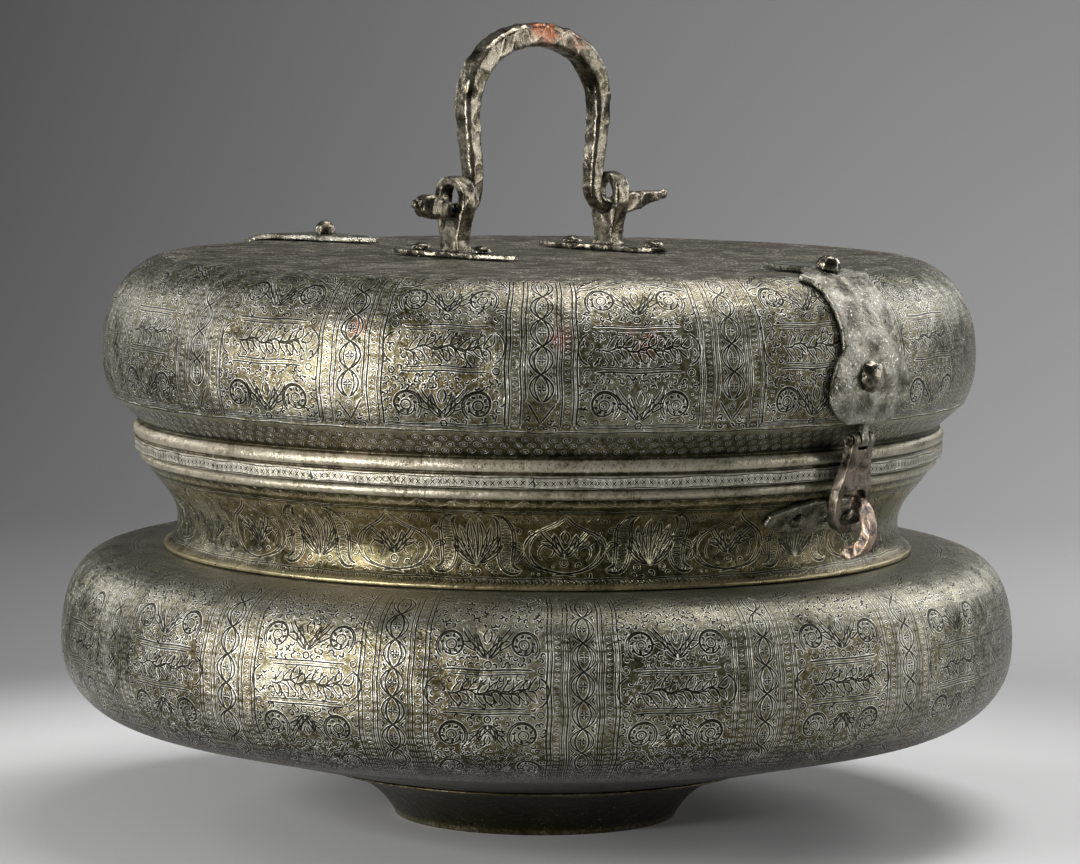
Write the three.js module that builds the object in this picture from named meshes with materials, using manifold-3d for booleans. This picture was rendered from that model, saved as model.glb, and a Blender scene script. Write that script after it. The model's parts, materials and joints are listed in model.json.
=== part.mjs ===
// A lidded bowl of raised and tinned copper, in millimetres, with +Z up.
// The origin is the middle of the foot's resting ring. The clasp faces -Y and the hinge faces +Y.
import * as THREE from "three";
import { mergeVertices } from "three/addons/utils/BufferGeometryUtils.js";
import Module from "manifold-3d";

const wasm = await Module();
wasm.setup();

// Sheet and fits
const sheet = 2.0; // thickness of the raised copper
const seat = 0.3; // gap left where two pieces rest on each other
const running = 0.3; // gap round a pin in its knuckle

// Belly
const bellyRadius = 190;
const bellyWidestHeight = 71;
const bellyFloorRadius = 88;
const bellyFloorHeight = 22;
const bellyTurnRadius = 162; // where the underside's cone turns up into the side
const bellyTurnHeight = 39.5;
const shoulderRadius = 164;
const shoulderHeight = 107.8;

// Foot
const footRadius = 56.5;
const footWall = 2.8;
const footFlangeWidth = 14;

// Neck
const neckRadius = 143.5;
const neckWaistHeight = 119.5;
const neckFlangeRadius = 149;
const neckFlangeEdge = 1.4;
const scrollBandRadius = 153.9;
const scrollBandHeight = 139;
const rimBeadRadius = 2.1;
const rimBeadOut = 156.6; // distance of the bead's centre from the axis
const rimBeadHeight = 144.6;
const lipRadius = 155.4;
const lipHeight = 150.6;

// Lid
const lidTop = 224;
const lidFlatRadius = 144;
const lidRadius = 173.4;
const lidWidestHeight = 187;
const lidBorderRadius = 169.6; // lower edge of the engraved side
const lidBorderHeight = 168.6;
const lidFit = 2.3; // gap between the neck's lip and the lid's band, which fits over it
const lidBandWall = 3.3;
const lidBandRadius = lipRadius + lidFit + lidBandWall;
const coveRadius = lidBandRadius - 2.6;
const coveHeight = 158.2;
const grooveRadius = lidBandRadius - 1.1;
const grooveHeight = 152.6;

// Handle
const handleOffset = 4; // the handle stands this far behind the lid's middle
const handleTop = 316;
const eyeSpan = 43.6; // from the middle to each lug
const eyeHeight = 18.6; // swing axis above the lid
const eyeHole = 4.8; // half width of the worn, upright slot in each lug
const eyeSlot = 4.1; // straight part of the slot
const eyeRing = 8.4; // half width of the lug round the slot
const lugThickness = 7.2;
const lugWaist = 5; // half width of the post below the eye
const lugPlate = 2.2;
const lugLeafWidth = 6.6;
const lugs = [
  { side: "left", x: -eyeSpan, back: { reach: 34.5, rivet: 19 }, front: { reach: 34.5, rivet: 14.5 } },
  { side: "right", x: eyeSpan, back: { reach: 39, rivet: 20.7 }, front: { reach: 32, rivet: 25 } },
];
const shaftHalf = 3.1; // half thickness where the bail hangs in a slot
const legSpan = 33.6; // half the distance between the legs' centres at the foot of the bail
const bailSpan = 37; // the same where the bail is widest
const bailWidestRise = 40.5; // height of the widest place above the swing axis
const legHalf = 3.3;
const bailHalf = 4.8;
const crownHalf = 4.8;
const legBend = 7.2;
const barFlats = 0.7; // share of each side left flat between the bevels
const shaftFlats = 0.45;
const finialGap = 1.2; // from a lug to the thick part of its finial
const finialRise = 3.6; // from the swing axis to the finial's tip
const finialHalf = 4.9;
const finialKnob = 2.1;
const knobLength = 3.4;
// Each finial's shape in (share of its length, share of finialHalf).
const finials = {
  left: { reach: 67, shape: [[0, 0.7], [0.38, 0.97], [0.62, 0.94], [0.76, 0.66]] },
  right: { reach: 77, shape: [[0, 0.88], [0.28, 0.84], [0.84, 0.42]] },
};

// Straps
const strapThickness = 2.4;
const frontRivetAt = 151; // distances along the lid's skin, measured from its middle
const backRivetAt = 125.6;
const spearReach = 32; // from a strap's top rivet to its pointed tip
const cuspAt = 155;
const cuspHalf = 18.5;
const waistHalf = 14.5;
const lobeAt = 199;
const lobeHalf = 22.5;
const lobeRivetAt = 197;
const lobeRivetAside = -2.5;
const strapStep = 5; // longest straight piece of a strap along the skin

// Clasp
const claspPinOut = lidBorderRadius - 1;
const claspPinHeight = lidBorderHeight - 6.2;
const claspKnuckle = 3.2;
const strapKnuckleWidth = 4.4; // the strap's knuckle, in the middle
const haspKnuckleHalf = 5.6; // to the outside of the hasp's two knuckles
const pinRadius = 1.5;
const haspThickness = 4.8;
const haspLength = 36.2; // from the pin to the hasp's lower edge
const haspEyeHalf = 9.8;
const haspHoleHalf = 6.5;
const haspHoleTop = 19.5;
const haspHoleBottom = 32.2;
const haspHoleBend = 3;
const haspBandGap = 3.2; // from the hasp's back to the lid's band
const ringRadius = 12.5; // outside of the hook
const ringWidth = 4.2;
const ringDepth = 5;
const ringInset = 1.2; // the hook's centre behind the bar it hangs on
const ringAside = 3.7;
const ringUpperEnd = 80; // degrees, from straight out towards the top
const ringRimGap = 0.9; // how far the tip reaches in behind the rim bead's outside
const keeperHole = 2;
const keeperWidth = 2.4;
const keeperReach = 7.4;
const keeperHeight = 9;

// Neck plates
const plateThickness = 2.2;
const plateReach = 28.5;
const plateTop = 3; // distances down the neck's flare, from the edge of the rim bead
const plateBottom = 19.5;
const plateRivets = 14;

// Hinge
const hingePinOut = 169.4;
const hingePinHeight = 147;
const hingeKnuckle = 4;
const hingePinRadius = 1.7;
const hingeMiddleWidth = 11.8;
const hingeEarWidth = 5.8;
const hingeBarHalf = 5.7;

// Rivets
const rivetShank = 1.8;
const rivetTail = 2.9;
const smallHead = 4.3;
const largeHead = 6.4;

const ROUND = 40; // facets round the axis
const X = new THREE.Vector3(1, 0, 0);
const Z = new THREE.Vector3(0, 0, 1);

const tin = { color: 0x57523f, roughness: 0.5, metalness: 0.85 };
const wornTin = { color: 0x6b6555, roughness: 0.45, metalness: 0.85 };
const forged = { color: 0x7a7365, roughness: 0.5, metalness: 0.9 };
const copper = { color: 0x8c5a3c, roughness: 0.4, metalness: 0.9 };

const bowl = new THREE.Group();

function addPiece(name, geometry, look) {
  const mesh = new THREE.Mesh(geometry, new THREE.MeshStandardMaterial(look));
  mesh.name = name;
  bowl.add(mesh);
  return mesh;
}

// A mesh with shared corners, no flat triangles, and its faces turned outwards.
function closed(geometry) {
  const loose = geometry.clone();
  loose.deleteAttribute("normal");
  loose.deleteAttribute("uv");
  loose.clearGroups();
  const merged = mergeVertices(loose, 1e-4);
  const corners = merged.getIndex().array;
  const place = merged.getAttribute("position");
  const kept = [];
  let volume = 0;
  const [a, b, c] = [new THREE.Vector3(), new THREE.Vector3(), new THREE.Vector3()];
  for (let i = 0; i < corners.length; i += 3) {
    const [p, q, r] = [corners[i], corners[i + 1], corners[i + 2]];
    if (p === q || q === r || r === p) continue;
    kept.push(p, q, r);
    a.fromBufferAttribute(place, p);
    b.fromBufferAttribute(place, q);
    c.fromBufferAttribute(place, r);
    volume += a.dot(b.cross(c));
  }
  if (volume < 0) {
    for (let i = 0; i < kept.length; i += 3) {
      [kept[i], kept[i + 1]] = [kept[i + 1], kept[i]];
    }
  }
  merged.setIndex(kept);
  return merged;
}

function toSolid(geometry) {
  const mesh = closed(geometry);
  return new wasm.Manifold(new wasm.Mesh({
    numProp: 3,
    vertProperties: new Float32Array(mesh.getAttribute("position").array),
    triVerts: new Uint32Array(mesh.getIndex().array),
  }));
}

function toGeometry(solid) {
  const mesh = solid.getMesh();
  const geometry = new THREE.BufferGeometry();
  geometry.setAttribute("position", new THREE.BufferAttribute(new Float32Array(mesh.vertProperties), 3));
  geometry.setIndex(Array.from(mesh.triVerts));
  return geometry;
}

function joined(parts) {
  return parts.map(toSolid).reduce((whole, part) => whole.add(part));
}

function cut(solid, cutters) {
  return cutters.map(toSolid).reduce((whole, cutter) => whole.subtract(cutter), solid);
}

// Turned about +Z, from an outline of (radius, height) points.
function turned(points, segments = ROUND) {
  const lathe = new THREE.LatheGeometry(points, segments);
  lathe.rotateX(Math.PI / 2);
  return closed(lathe);
}

function loop(points) {
  return [...points, points[0].clone()];
}

// A round bar along X, from x0 to x1.
function barAlongX(radius, x0, x1, y, z, segments = 16) {
  const bar = new THREE.CylinderGeometry(radius, radius, x1 - x0, segments);
  bar.rotateZ(Math.PI / 2);
  bar.translate((x0 + x1) / 2, y, z);
  return bar;
}

// A flat outline of (distance out, height) points, as a plate from x0 to x1. side is -1 in front.
function plateAlongX(shape, x0, x1, side) {
  const plate = new THREE.ExtrudeGeometry(shape, { depth: x1 - x0, bevelEnabled: false, curveSegments: 10 });
  const turn = new THREE.Matrix4().makeBasis(new THREE.Vector3(0, side, 0), Z, X);
  plate.applyMatrix4(turn);
  plate.translate(x0, 0, 0);
  return plate;
}

// Equal rings of points, skinned and closed at both ends.
function skinned(rings) {
  const count = rings[0].length;
  const positions = rings.flat().flatMap((point) => point.toArray());
  const faces = [];
  for (let i = 0; i + 1 < rings.length; i += 1) {
    for (let j = 0; j < count; j += 1) {
      const next = (j + 1) % count;
      const [a, b, c, d] = [i * count + j, i * count + next, (i + 1) * count + next, (i + 1) * count + j];
      faces.push(a, b, c, a, c, d);
    }
  }
  const last = (rings.length - 1) * count;
  for (let j = 1; j + 1 < count; j += 1) {
    faces.push(0, j + 1, j, last, last + j, last + j + 1);
  }
  const geometry = new THREE.BufferGeometry();
  geometry.setAttribute("position", new THREE.BufferAttribute(new Float32Array(positions), 3));
  geometry.setIndex(faces);
  return closed(geometry);
}

// The belly's skin in (radius, height), moved in by inset, from the axis to the mouth.
function bellySkin(inset) {
  const turn = new THREE.Vector2(bellyTurnRadius - 0.2 * inset, bellyTurnHeight + inset);
  const side = bellyRadius - inset;
  const top = shoulderHeight - inset;
  const skin = new THREE.Path();
  skin.moveTo(0, bellyFloorHeight + inset);
  skin.lineTo(bellyFloorRadius, bellyFloorHeight + inset);
  skin.lineTo(turn.x, turn.y);
  skin.bezierCurveTo(
    THREE.MathUtils.lerp(turn.x, side, 0.57), THREE.MathUtils.lerp(turn.y, bellyWidestHeight, 0.11),
    side, THREE.MathUtils.lerp(turn.y, bellyWidestHeight, 0.46),
    side, bellyWidestHeight,
  );
  skin.bezierCurveTo(
    side, THREE.MathUtils.lerp(bellyWidestHeight, top, 0.57),
    THREE.MathUtils.lerp(shoulderRadius, side, 0.77), top,
    shoulderRadius, top,
  );
  skin.lineTo(neckRadius - sheet, top);
  return skin.getPoints(5);
}

function bellyShell() {
  const outside = bellySkin(0);
  const inside = bellySkin(sheet).reverse();
  return turned([...outside, ...inside]);
}

// A flared ring whose upper flange is soldered under the belly's floor.
function footRing() {
  const top = bellyFloorHeight - seat;
  const flangeRadius = bellyFloorRadius - seat;
  const flare = new THREE.Path();
  flare.moveTo(footRadius - footWall, 0);
  flare.lineTo(footRadius, 0);
  flare.quadraticCurveTo(footRadius + footWall * 2.3, top * 0.62, flangeRadius, top - 0.6);
  flare.lineTo(flangeRadius, top);
  flare.lineTo(flangeRadius - footFlangeWidth, top);
  flare.quadraticCurveTo(footRadius + 1.4 * footWall, top * 0.62, footRadius - footWall, 0);
  return turned(flare.getPoints(4));
}

// The neck's flare in (radius, height), from the rim bead down to the waist, moved in by inset.
function neckFlare(inset) {
  const flare = new THREE.Path();
  flare.moveTo(rimBeadOut - 0.2 - inset, rimBeadHeight - rimBeadRadius);
  flare.lineTo(scrollBandRadius - inset, scrollBandHeight);
  flare.bezierCurveTo(
    THREE.MathUtils.lerp(neckRadius, scrollBandRadius, 0.62) - inset,
    THREE.MathUtils.lerp(neckWaistHeight, scrollBandHeight, 0.7),
    neckRadius - inset, THREE.MathUtils.lerp(neckWaistHeight, scrollBandHeight, 0.42),
    neckRadius - inset, neckWaistHeight,
  );
  return flare;
}

// A collar that stands on the shoulder by its flange and ends in a beaded rim and an upright lip.
function neckCollar() {
  const foot = shoulderHeight + seat;
  const base = new THREE.Path();
  base.moveTo(neckRadius, neckWaistHeight);
  base.bezierCurveTo(
    neckRadius, THREE.MathUtils.lerp(foot, neckWaistHeight, 0.5),
    THREE.MathUtils.lerp(neckRadius, neckFlangeRadius, 0.4), foot + 2 * neckFlangeEdge,
    neckFlangeRadius, foot + neckFlangeEdge,
  );
  base.lineTo(neckFlangeRadius, foot);
  const bead = new THREE.Path();
  bead.absarc(rimBeadOut, rimBeadHeight, rimBeadRadius, Math.PI / 2, -Math.PI / 2, true);
  const outside = [
    new THREE.Vector2(lipRadius - sheet, lipHeight),
    new THREE.Vector2(lipRadius, lipHeight),
    new THREE.Vector2(lipRadius, rimBeadHeight + rimBeadRadius),
    ...bead.getPoints(4),
    ...neckFlare(0).getPoints(4).slice(1),
    ...base.getPoints(4).slice(1),
  ];
  const inside = [new THREE.Vector2(neckRadius - sheet, foot), ...neckFlare(sheet).getPoints(4).reverse()];
  return turned(loop([...outside, ...inside]));
}

// The lid's side in (radius, height), from its flat top to the lower edge of the engraving.
function lidSide(inset) {
  const side = lidRadius - inset;
  const top = lidTop - inset;
  const skin = new THREE.Path();
  skin.moveTo(0, top);
  skin.lineTo(lidFlatRadius, top);
  skin.bezierCurveTo(
    THREE.MathUtils.lerp(lidFlatRadius, side, 0.54), top,
    side, THREE.MathUtils.lerp(lidWidestHeight, top, 0.62),
    side, lidWidestHeight,
  );
  skin.bezierCurveTo(
    side, THREE.MathUtils.lerp(lidWidestHeight, lidBorderHeight, 0.49),
    lidBorderRadius - inset + 2.4, THREE.MathUtils.lerp(lidWidestHeight, lidBorderHeight, 0.79),
    lidBorderRadius - inset, lidBorderHeight + 0.4 * inset,
  );
  return skin;
}

const lidEdgeHeight = rimBeadHeight + rimBeadRadius + 0.15;

// A turned cap with a rounded side, a cove under it, a half-round moulding and a band round the rim.
function lidShell() {
  const moulding = new THREE.Path();
  moulding.moveTo(coveRadius, coveHeight);
  moulding.bezierCurveTo(
    lidBandRadius + 1.6, coveHeight - 0.6,
    lidBandRadius + 1.2, grooveHeight + 0.8,
    grooveRadius, grooveHeight,
  );
  const points = [
    ...lidSide(0).getPoints(6),
    ...moulding.getPoints(5),
    new THREE.Vector2(lidBandRadius, grooveHeight - 0.6),
    new THREE.Vector2(lidBandRadius - 0.4, lidEdgeHeight),
    new THREE.Vector2(lidBandRadius - lidBandWall, lidEdgeHeight),
    new THREE.Vector2(lidBandRadius - lidBandWall, grooveHeight),
    new THREE.Vector2(coveRadius - sheet, coveHeight - 1),
    ...lidSide(sheet).getPoints(5).reverse(),
  ];
  return turned(points);
}

// The place on a skin at a distance along it, with the way its outside faces.
function onSkin(path, distance) {
  const share = THREE.MathUtils.clamp(distance / path.getLength(), 0, 1);
  const point = path.getPointAt(share);
  const tangent = path.getTangentAt(share);
  return { radius: point.x, height: point.y, outR: -tangent.y, outZ: tangent.x };
}

// A point on a skin, moved out by rise. side is -1 in front and 1 behind.
function skinPoint(path, distance, across, rise, side) {
  const place = onSkin(path, distance);
  const angle = across / place.radius;
  const radius = place.radius + rise * place.outR;
  const height = place.height + rise * place.outZ;
  return new THREE.Vector3(radius * Math.sin(angle), side * radius * Math.cos(angle), height);
}

// Sheet metal bent over a skin: rows of (distance, across) pairs, given a thickness.
function bentSheet(path, rows, thickness, side) {
  const rings = rows.map((row) => {
    const under = row.map(([distance, across]) => skinPoint(path, distance, across, seat, side));
    const over = row.map(([distance, across]) => skinPoint(path, distance, across, seat + thickness, side));
    return [...under, ...over.reverse()];
  });
  return skinned(rings);
}

// Rows across a strap from its (distance, half width) stations, close enough to follow the skin.
function strapRows(stations, columns = 4) {
  const row = (distance, half) => (
    Array.from({ length: columns + 1 }, (_, j) => [distance, half * ((2 * j) / columns - 1)])
  );
  const rows = [row(...stations[0])];
  for (let i = 1; i < stations.length; i += 1) {
    const [from, to] = [stations[i - 1], stations[i]];
    const steps = Math.ceil((to[0] - from[0]) / strapStep);
    for (let k = 1; k <= steps; k += 1) {
      const along = THREE.MathUtils.lerp(from[0], to[0], k / steps);
      const half = THREE.MathUtils.lerp(from[1], to[1], k / steps);
      rows.push(row(along, half));
    }
  }
  return rows;
}

// Turns +Z to a direction and moves to a point.
function standing(point, outward) {
  const turn = new THREE.Quaternion().setFromUnitVectors(Z, outward);
  return new THREE.Matrix4().compose(point, turn, new THREE.Vector3(1, 1, 1));
}

// A rivet's place: its point on the skin and the direction of its head.
function rivetPlace(path, distance, across, side) {
  const foot = skinPoint(path, distance, across, 0, side);
  const head = skinPoint(path, distance, across, 1, side);
  return standing(foot, head.clone().sub(foot).normalize());
}

// A domed rivet through one plate and the shell under it, clenched inside.
function rivet(headRadius, headHeight, plate) {
  const under = plate + 2 * seat;
  const tail = -sheet - 2 * seat;
  const profile = new THREE.Path();
  profile.moveTo(0, tail - 1.3);
  profile.lineTo(rivetTail - 0.7, tail - 1.3);
  profile.lineTo(rivetTail, tail);
  profile.lineTo(rivetShank, tail);
  profile.lineTo(rivetShank, under);
  profile.lineTo(headRadius, under);
  profile.bezierCurveTo(headRadius * 0.96, under + headHeight * 0.7, headRadius * 0.5, under + headHeight,
    0, under + headHeight);
  return turned(profile.getPoints(3), 10);
}

function rivetHole() {
  const hole = new THREE.CylinderGeometry(rivetShank + seat, rivetShank + seat, 14, 10);
  hole.rotateX(Math.PI / 2);
  return hole;
}

function addRivet(name, place, headRadius, headHeight, plate) {
  const mesh = addPiece(name, rivet(headRadius, headHeight, plate), forged);
  mesh.applyMatrix4(place);
}

const lidSkin = lidSide(0);
const neckSkin = neckFlare(0);
const swingHeight = lidTop + eyeHeight;

// One forged lug: an upright slot in a post whose foot spreads into two riveted leaves.
function handleLug(lug) {
  const lower = eyeHeight - shaftHalf * Math.hypot(1, shaftFlats) - seat + eyeHole;
  const upper = lower + eyeSlot;
  const post = new THREE.Shape();
  post.moveTo(-lugWaist * 1.25, seat + lugPlate / 2);
  post.lineTo(-lugWaist, seat + lugPlate + 4);
  post.quadraticCurveTo(-lugWaist * 1.2, lower - eyeRing * 0.7, -eyeRing, lower);
  post.absarc(0, upper, eyeRing, Math.PI, 0, true);
  post.lineTo(eyeRing, lower);
  post.quadraticCurveTo(lugWaist * 1.2, lower - eyeRing * 0.7, lugWaist, seat + lugPlate + 4);
  post.lineTo(lugWaist * 1.25, seat + lugPlate / 2);
  post.closePath();
  const slot = new THREE.Path();
  slot.absarc(0, upper, eyeHole, 0, Math.PI, false);
  slot.absarc(0, lower, eyeHole, Math.PI, 2 * Math.PI, false);
  slot.closePath();
  post.holes.push(slot);
  const upright = plateAlongX(post, -lugThickness / 2, lugThickness / 2, 1);

  const leaf = new THREE.Shape();
  leaf.moveTo(-lugWaist, 0);
  for (const [way, { reach, rivet }] of [[1, lug.back], [-1, lug.front]]) {
    leaf.lineTo(-way * lugWaist * 0.9, way * 6);
    leaf.quadraticCurveTo(-way * lugLeafWidth * 1.5, way * rivet, -way * 0.6, way * reach);
    leaf.lineTo(way * 0.6, way * reach);
    leaf.quadraticCurveTo(way * lugLeafWidth * 1.5, way * rivet, way * lugWaist * 0.9, way * 6);
  }
  leaf.closePath();
  const foot = new THREE.ExtrudeGeometry(leaf, { depth: lugPlate, bevelEnabled: false, curveSegments: 8 });
  foot.translate(0, 0, seat);
  const holes = [lug.back.rivet, -lug.front.rivet].map((y) => rivetHole().translate(0, y, 0));
  return toGeometry(cut(joined([upright, foot]), holes));
}

const finialStart = eyeSpan + lugThickness / 2 + finialGap;

// The line of half the bail, from the middle of the crown to the finial's tip, as (x, height) points.
function bailLine(reach) {
  const axis = swingHeight;
  const widest = axis + bailWidestRise;
  const crown = handleTop - crownHalf;
  const line = new THREE.Path();
  line.moveTo(0, crown);
  const shoulder = THREE.MathUtils.lerp(widest, crown, 0.55);
  line.bezierCurveTo(bailSpan * 0.62, crown, bailSpan, shoulder, bailSpan, widest);
  line.bezierCurveTo(bailSpan, widest - 10, legSpan, axis + legBend + 10, legSpan, axis + legBend);
  line.absarc(legSpan + legBend, axis + legBend, legBend, Math.PI, 1.5 * Math.PI, false);
  line.lineTo(finialStart, axis);
  line.lineTo(reach, axis + finialRise);
  return line;
}

// Half thickness of the bar, at a share of the way from the crown to the bend at its foot.
function barHalf(share) {
  const widestShare = 0.45;
  if (share < widestShare) return THREE.MathUtils.lerp(crownHalf, bailHalf, share / widestShare);
  return THREE.MathUtils.lerp(bailHalf, legHalf, (share - widestShare) / (1 - widestShare));
}

// Places along half the bail, as (distance, half thickness, share left flat).
function bailStations(length, finial) {
  const finialLength = Math.hypot(finial.reach - finialStart, finialRise);
  const bendEnd = length - finialLength - (finialStart - legSpan - legBend);
  const bendStart = bendEnd - (Math.PI / 2) * legBend;
  const stations = [];
  for (let i = 1; i <= 12; i += 1) {
    stations.push([(bendStart * i) / 12, barHalf(i / 12), barFlats]);
  }
  for (let i = 1; i <= 4; i += 1) {
    const place = THREE.MathUtils.lerp(bendStart, bendEnd, i / 4);
    const half = THREE.MathUtils.lerp(legHalf, shaftHalf, i / 4);
    const flats = THREE.MathUtils.lerp(barFlats, shaftFlats, i / 4);
    stations.push([place, half, flats]);
  }
  stations.push([length - finialLength - 0.8, shaftHalf, shaftFlats]);
  for (const [share, size] of finial.shape) {
    stations.push([length - finialLength * (1 - share), finialHalf * size, barFlats]);
  }
  stations.push([length - knobLength, finialKnob * 0.8, shaftFlats]);
  stations.push([length - knobLength * 0.7, finialKnob, shaftFlats]);
  stations.push([length - knobLength * 0.25, finialKnob, shaftFlats]);
  stations.push([length, finialKnob * 0.5, shaftFlats]);
  return stations;
}

// Half the bail as rings of eight corners, from beside the crown to the tip. way is -1 on the left.
function halfBail(finial, way) {
  const line = bailLine(finial.reach);
  const length = line.getLength();
  return bailStations(length, finial).map(([distance, half, flats]) => {
    const point = line.getPointAt(distance / length);
    const tangent = line.getTangentAt(distance / length);
    return barRing(way * point.x, point.y, new THREE.Vector2(tangent.x, way * tangent.y), half, flats);
  });
}

function barRing(x, height, tangent, half, flats) {
  const corners = [
    [1, flats], [flats, 1], [-flats, 1], [-1, flats], [-1, -flats], [-flats, -1], [flats, -1], [1, -flats],
  ];
  return corners.map(([u, v]) => new THREE.Vector3(
    x - tangent.y * half * u, handleOffset + half * v, height + tangent.x * half * u,
  ));
}

// A hammered square bar with bevelled edges, drawn thin where it turns out through each eye.
function bailHandle() {
  const crown = barRing(0, handleTop - crownHalf, new THREE.Vector2(1, 0), crownHalf, barFlats);
  return skinned([...halfBail(finials.left, -1).reverse(), crown, ...halfBail(finials.right, 1)]);
}

// The stations of a strap's leaf-shaped end, from the spear's tip past the two cusps to the waist.
function spearStations(rivetAt) {
  const tip = rivetAt - spearReach;
  const neck = Math.min(rivetAt + 6, cuspAt - 4);
  return [
    [tip, 0.6],
    [tip + 6, 2.6],
    [tip + spearReach * 0.5, 6.8],
    [tip + spearReach * 0.8, 9],
    [neck - 4, 10],
    [neck, 11.5],
    [cuspAt - 0.6, cuspHalf],
    [cuspAt + 0.6, cuspHalf],
    [cuspAt + 4, waistHalf + 1.2],
    [cuspAt + 9, waistHalf],
  ];
}

// The strap's knuckle in profile: a tongue that turns in under the lid's border and round the pin.
function tongueShape() {
  const slope = Math.atan2(lidBorderHeight - coveHeight, lidBorderRadius - coveRadius);
  const length = lidSkin.getLength();
  const inStrap = (distance, share) => {
    const point = skinPoint(lidSkin, distance, 0, seat + share * strapThickness, -1);
    return new THREE.Vector2(-point.y, point.z);
  };
  const tongue = new THREE.Shape();
  const corner = inStrap(length, 0.25);
  const topInside = inStrap(length - 5, 0.25);
  const topOutside = inStrap(length - 5, 0.85);
  const edge = inStrap(length, 0.85);
  tongue.moveTo(topInside.x, topInside.y);
  tongue.lineTo(corner.x, corner.y);
  tongue.absarc(claspPinOut, claspPinHeight, claspKnuckle, slope + Math.PI / 2, 2 * Math.PI + 0.5, false);
  tongue.lineTo(edge.x, edge.y);
  tongue.lineTo(topOutside.x, topOutside.y);
  tongue.closePath();
  return tongue;
}

// The front strap: leaf, waist and round lobe, with a tongue in the middle for the clasp's pin.
function claspStrap(places) {
  const end = lidSkin.getLength() - 1.2;
  const stations = [
    ...spearStations(frontRivetAt),
    [cuspAt + 23, waistHalf],
    [lobeAt - 12, waistHalf + 1],
    [lobeAt - 7, lobeHalf - 3],
    [lobeAt, lobeHalf],
    [end - 7, lobeHalf - 1],
    [end - 3, lobeHalf - 5],
    [end, lobeHalf * 0.5],
  ];
  const tongue = plateAlongX(tongueShape(), -strapKnuckleWidth / 2, strapKnuckleWidth / 2, -1);
  const body = joined([bentSheet(lidSkin, strapRows(stations), strapThickness, -1), tongue]);
  const pinHole = barAlongX(pinRadius + running, -20, 20, -claspPinOut, claspPinHeight, 12);
  return toGeometry(cut(body, [pinHole, ...places.map((place) => rivetHole().applyMatrix4(place))]));
}

// The line of the back strap: over the lid's shoulder, then straight down to the hinge's knuckle.
function hingeStrapSkin() {
  const skin = new THREE.Path();
  skin.moveTo(0, lidTop);
  skin.lineTo(lidFlatRadius, lidTop);
  skin.bezierCurveTo(
    THREE.MathUtils.lerp(lidFlatRadius, lidRadius, 0.54), lidTop,
    lidRadius, THREE.MathUtils.lerp(lidWidestHeight, lidTop, 0.62),
    lidRadius, lidWidestHeight,
  );
  skin.lineTo(hingePinOut + hingeKnuckle - seat - strapThickness, hingePinHeight + 1);
  return skin;
}

const hingeSkin = hingeStrapSkin();

// The back strap: leaf, waist, lobe, and a bar that ends in the hinge's middle knuckle.
function hingeStrap(places) {
  const end = hingeSkin.getLength();
  const stations = [
    ...spearStations(backRivetAt),
    [cuspAt + 23, waistHalf],
    [lobeAt - 14, waistHalf + 1],
    [lobeAt - 6, lobeHalf - 3.5],
    [lobeAt, lobeHalf - 3],
    [lobeAt + 8, lobeHalf * 0.5],
    [lobeAt + 12, hingeBarHalf],
    [end, hingeBarHalf],
  ];
  const half = hingeMiddleWidth / 2;
  const knuckle = barAlongX(hingeKnuckle, -half, half, hingePinOut, hingePinHeight);
  const body = joined([bentSheet(hingeSkin, strapRows(stations), strapThickness, 1), knuckle]);
  const pinHole = barAlongX(hingePinRadius + running, -20, 20, hingePinOut, hingePinHeight, 12);
  return toGeometry(cut(body, [pinHole, ...places.map((place) => rivetHole().applyMatrix4(place))]));
}

// A leaf-shaped plate bent round the neck, as rows across it from one wing tip to the other.
function neckPlate(side) {
  const middle = THREE.MathUtils.lerp(plateTop, plateBottom, 0.55);
  const outline = new THREE.SplineCurve([
    new THREE.Vector2(-1, 0.3), new THREE.Vector2(-0.72, 0.72), new THREE.Vector2(-0.4, 0.92),
    new THREE.Vector2(0, 1), new THREE.Vector2(0.4, 0.92), new THREE.Vector2(0.72, 0.72),
    new THREE.Vector2(1, 0.3),
  ]);
  const rows = outline.getPoints(10).map(({ x, y }) => {
    const upper = THREE.MathUtils.lerp(middle, plateTop, y);
    const lower = THREE.MathUtils.lerp(middle, plateBottom, y);
    const steps = [0, 0.25, 0.5, 0.75, 1];
    return steps.map((share) => [THREE.MathUtils.lerp(upper, lower, share), x * plateReach]);
  });
  return bentSheet(neckSkin, rows, plateThickness, side);
}

// Two points inside the neck plate's thickness, from which an ear can start.
function plateRoot(side, from, to) {
  return [from, to].map((distance) => {
    const point = skinPoint(neckSkin, distance, 0, seat + plateThickness * 0.6, side);
    return new THREE.Vector2(side * point.y, point.z);
  });
}

// The plate under the hasp, with a pierced keeper that stands out of its middle.
function claspPlate(places) {
  const [upper, lower] = plateRoot(-1, plateTop + 3.4, plateTop + 3.4 + keeperHeight);
  const reach = upper.x + keeperReach - plateThickness;
  const keeper = new THREE.Shape();
  keeper.moveTo(lower.x, lower.y);
  keeper.lineTo(reach - 2, lower.y + 1.5);
  keeper.quadraticCurveTo(reach, lower.y + 1.5, reach, (upper.y + lower.y) / 2);
  keeper.quadraticCurveTo(reach, upper.y, reach - 2, upper.y);
  keeper.lineTo(upper.x, upper.y);
  keeper.closePath();
  const hole = new THREE.Path();
  hole.absarc(reach - keeperHole - 1.8, (upper.y + lower.y) / 2 + 0.8, keeperHole, 0, 2 * Math.PI, false);
  keeper.holes.push(hole);
  const stud = plateAlongX(keeper, -keeperWidth / 2, keeperWidth / 2, -1);
  const body = joined([neckPlate(-1), stud]);
  return toGeometry(cut(body, places.map((place) => rivetHole().applyMatrix4(place))));
}

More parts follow.
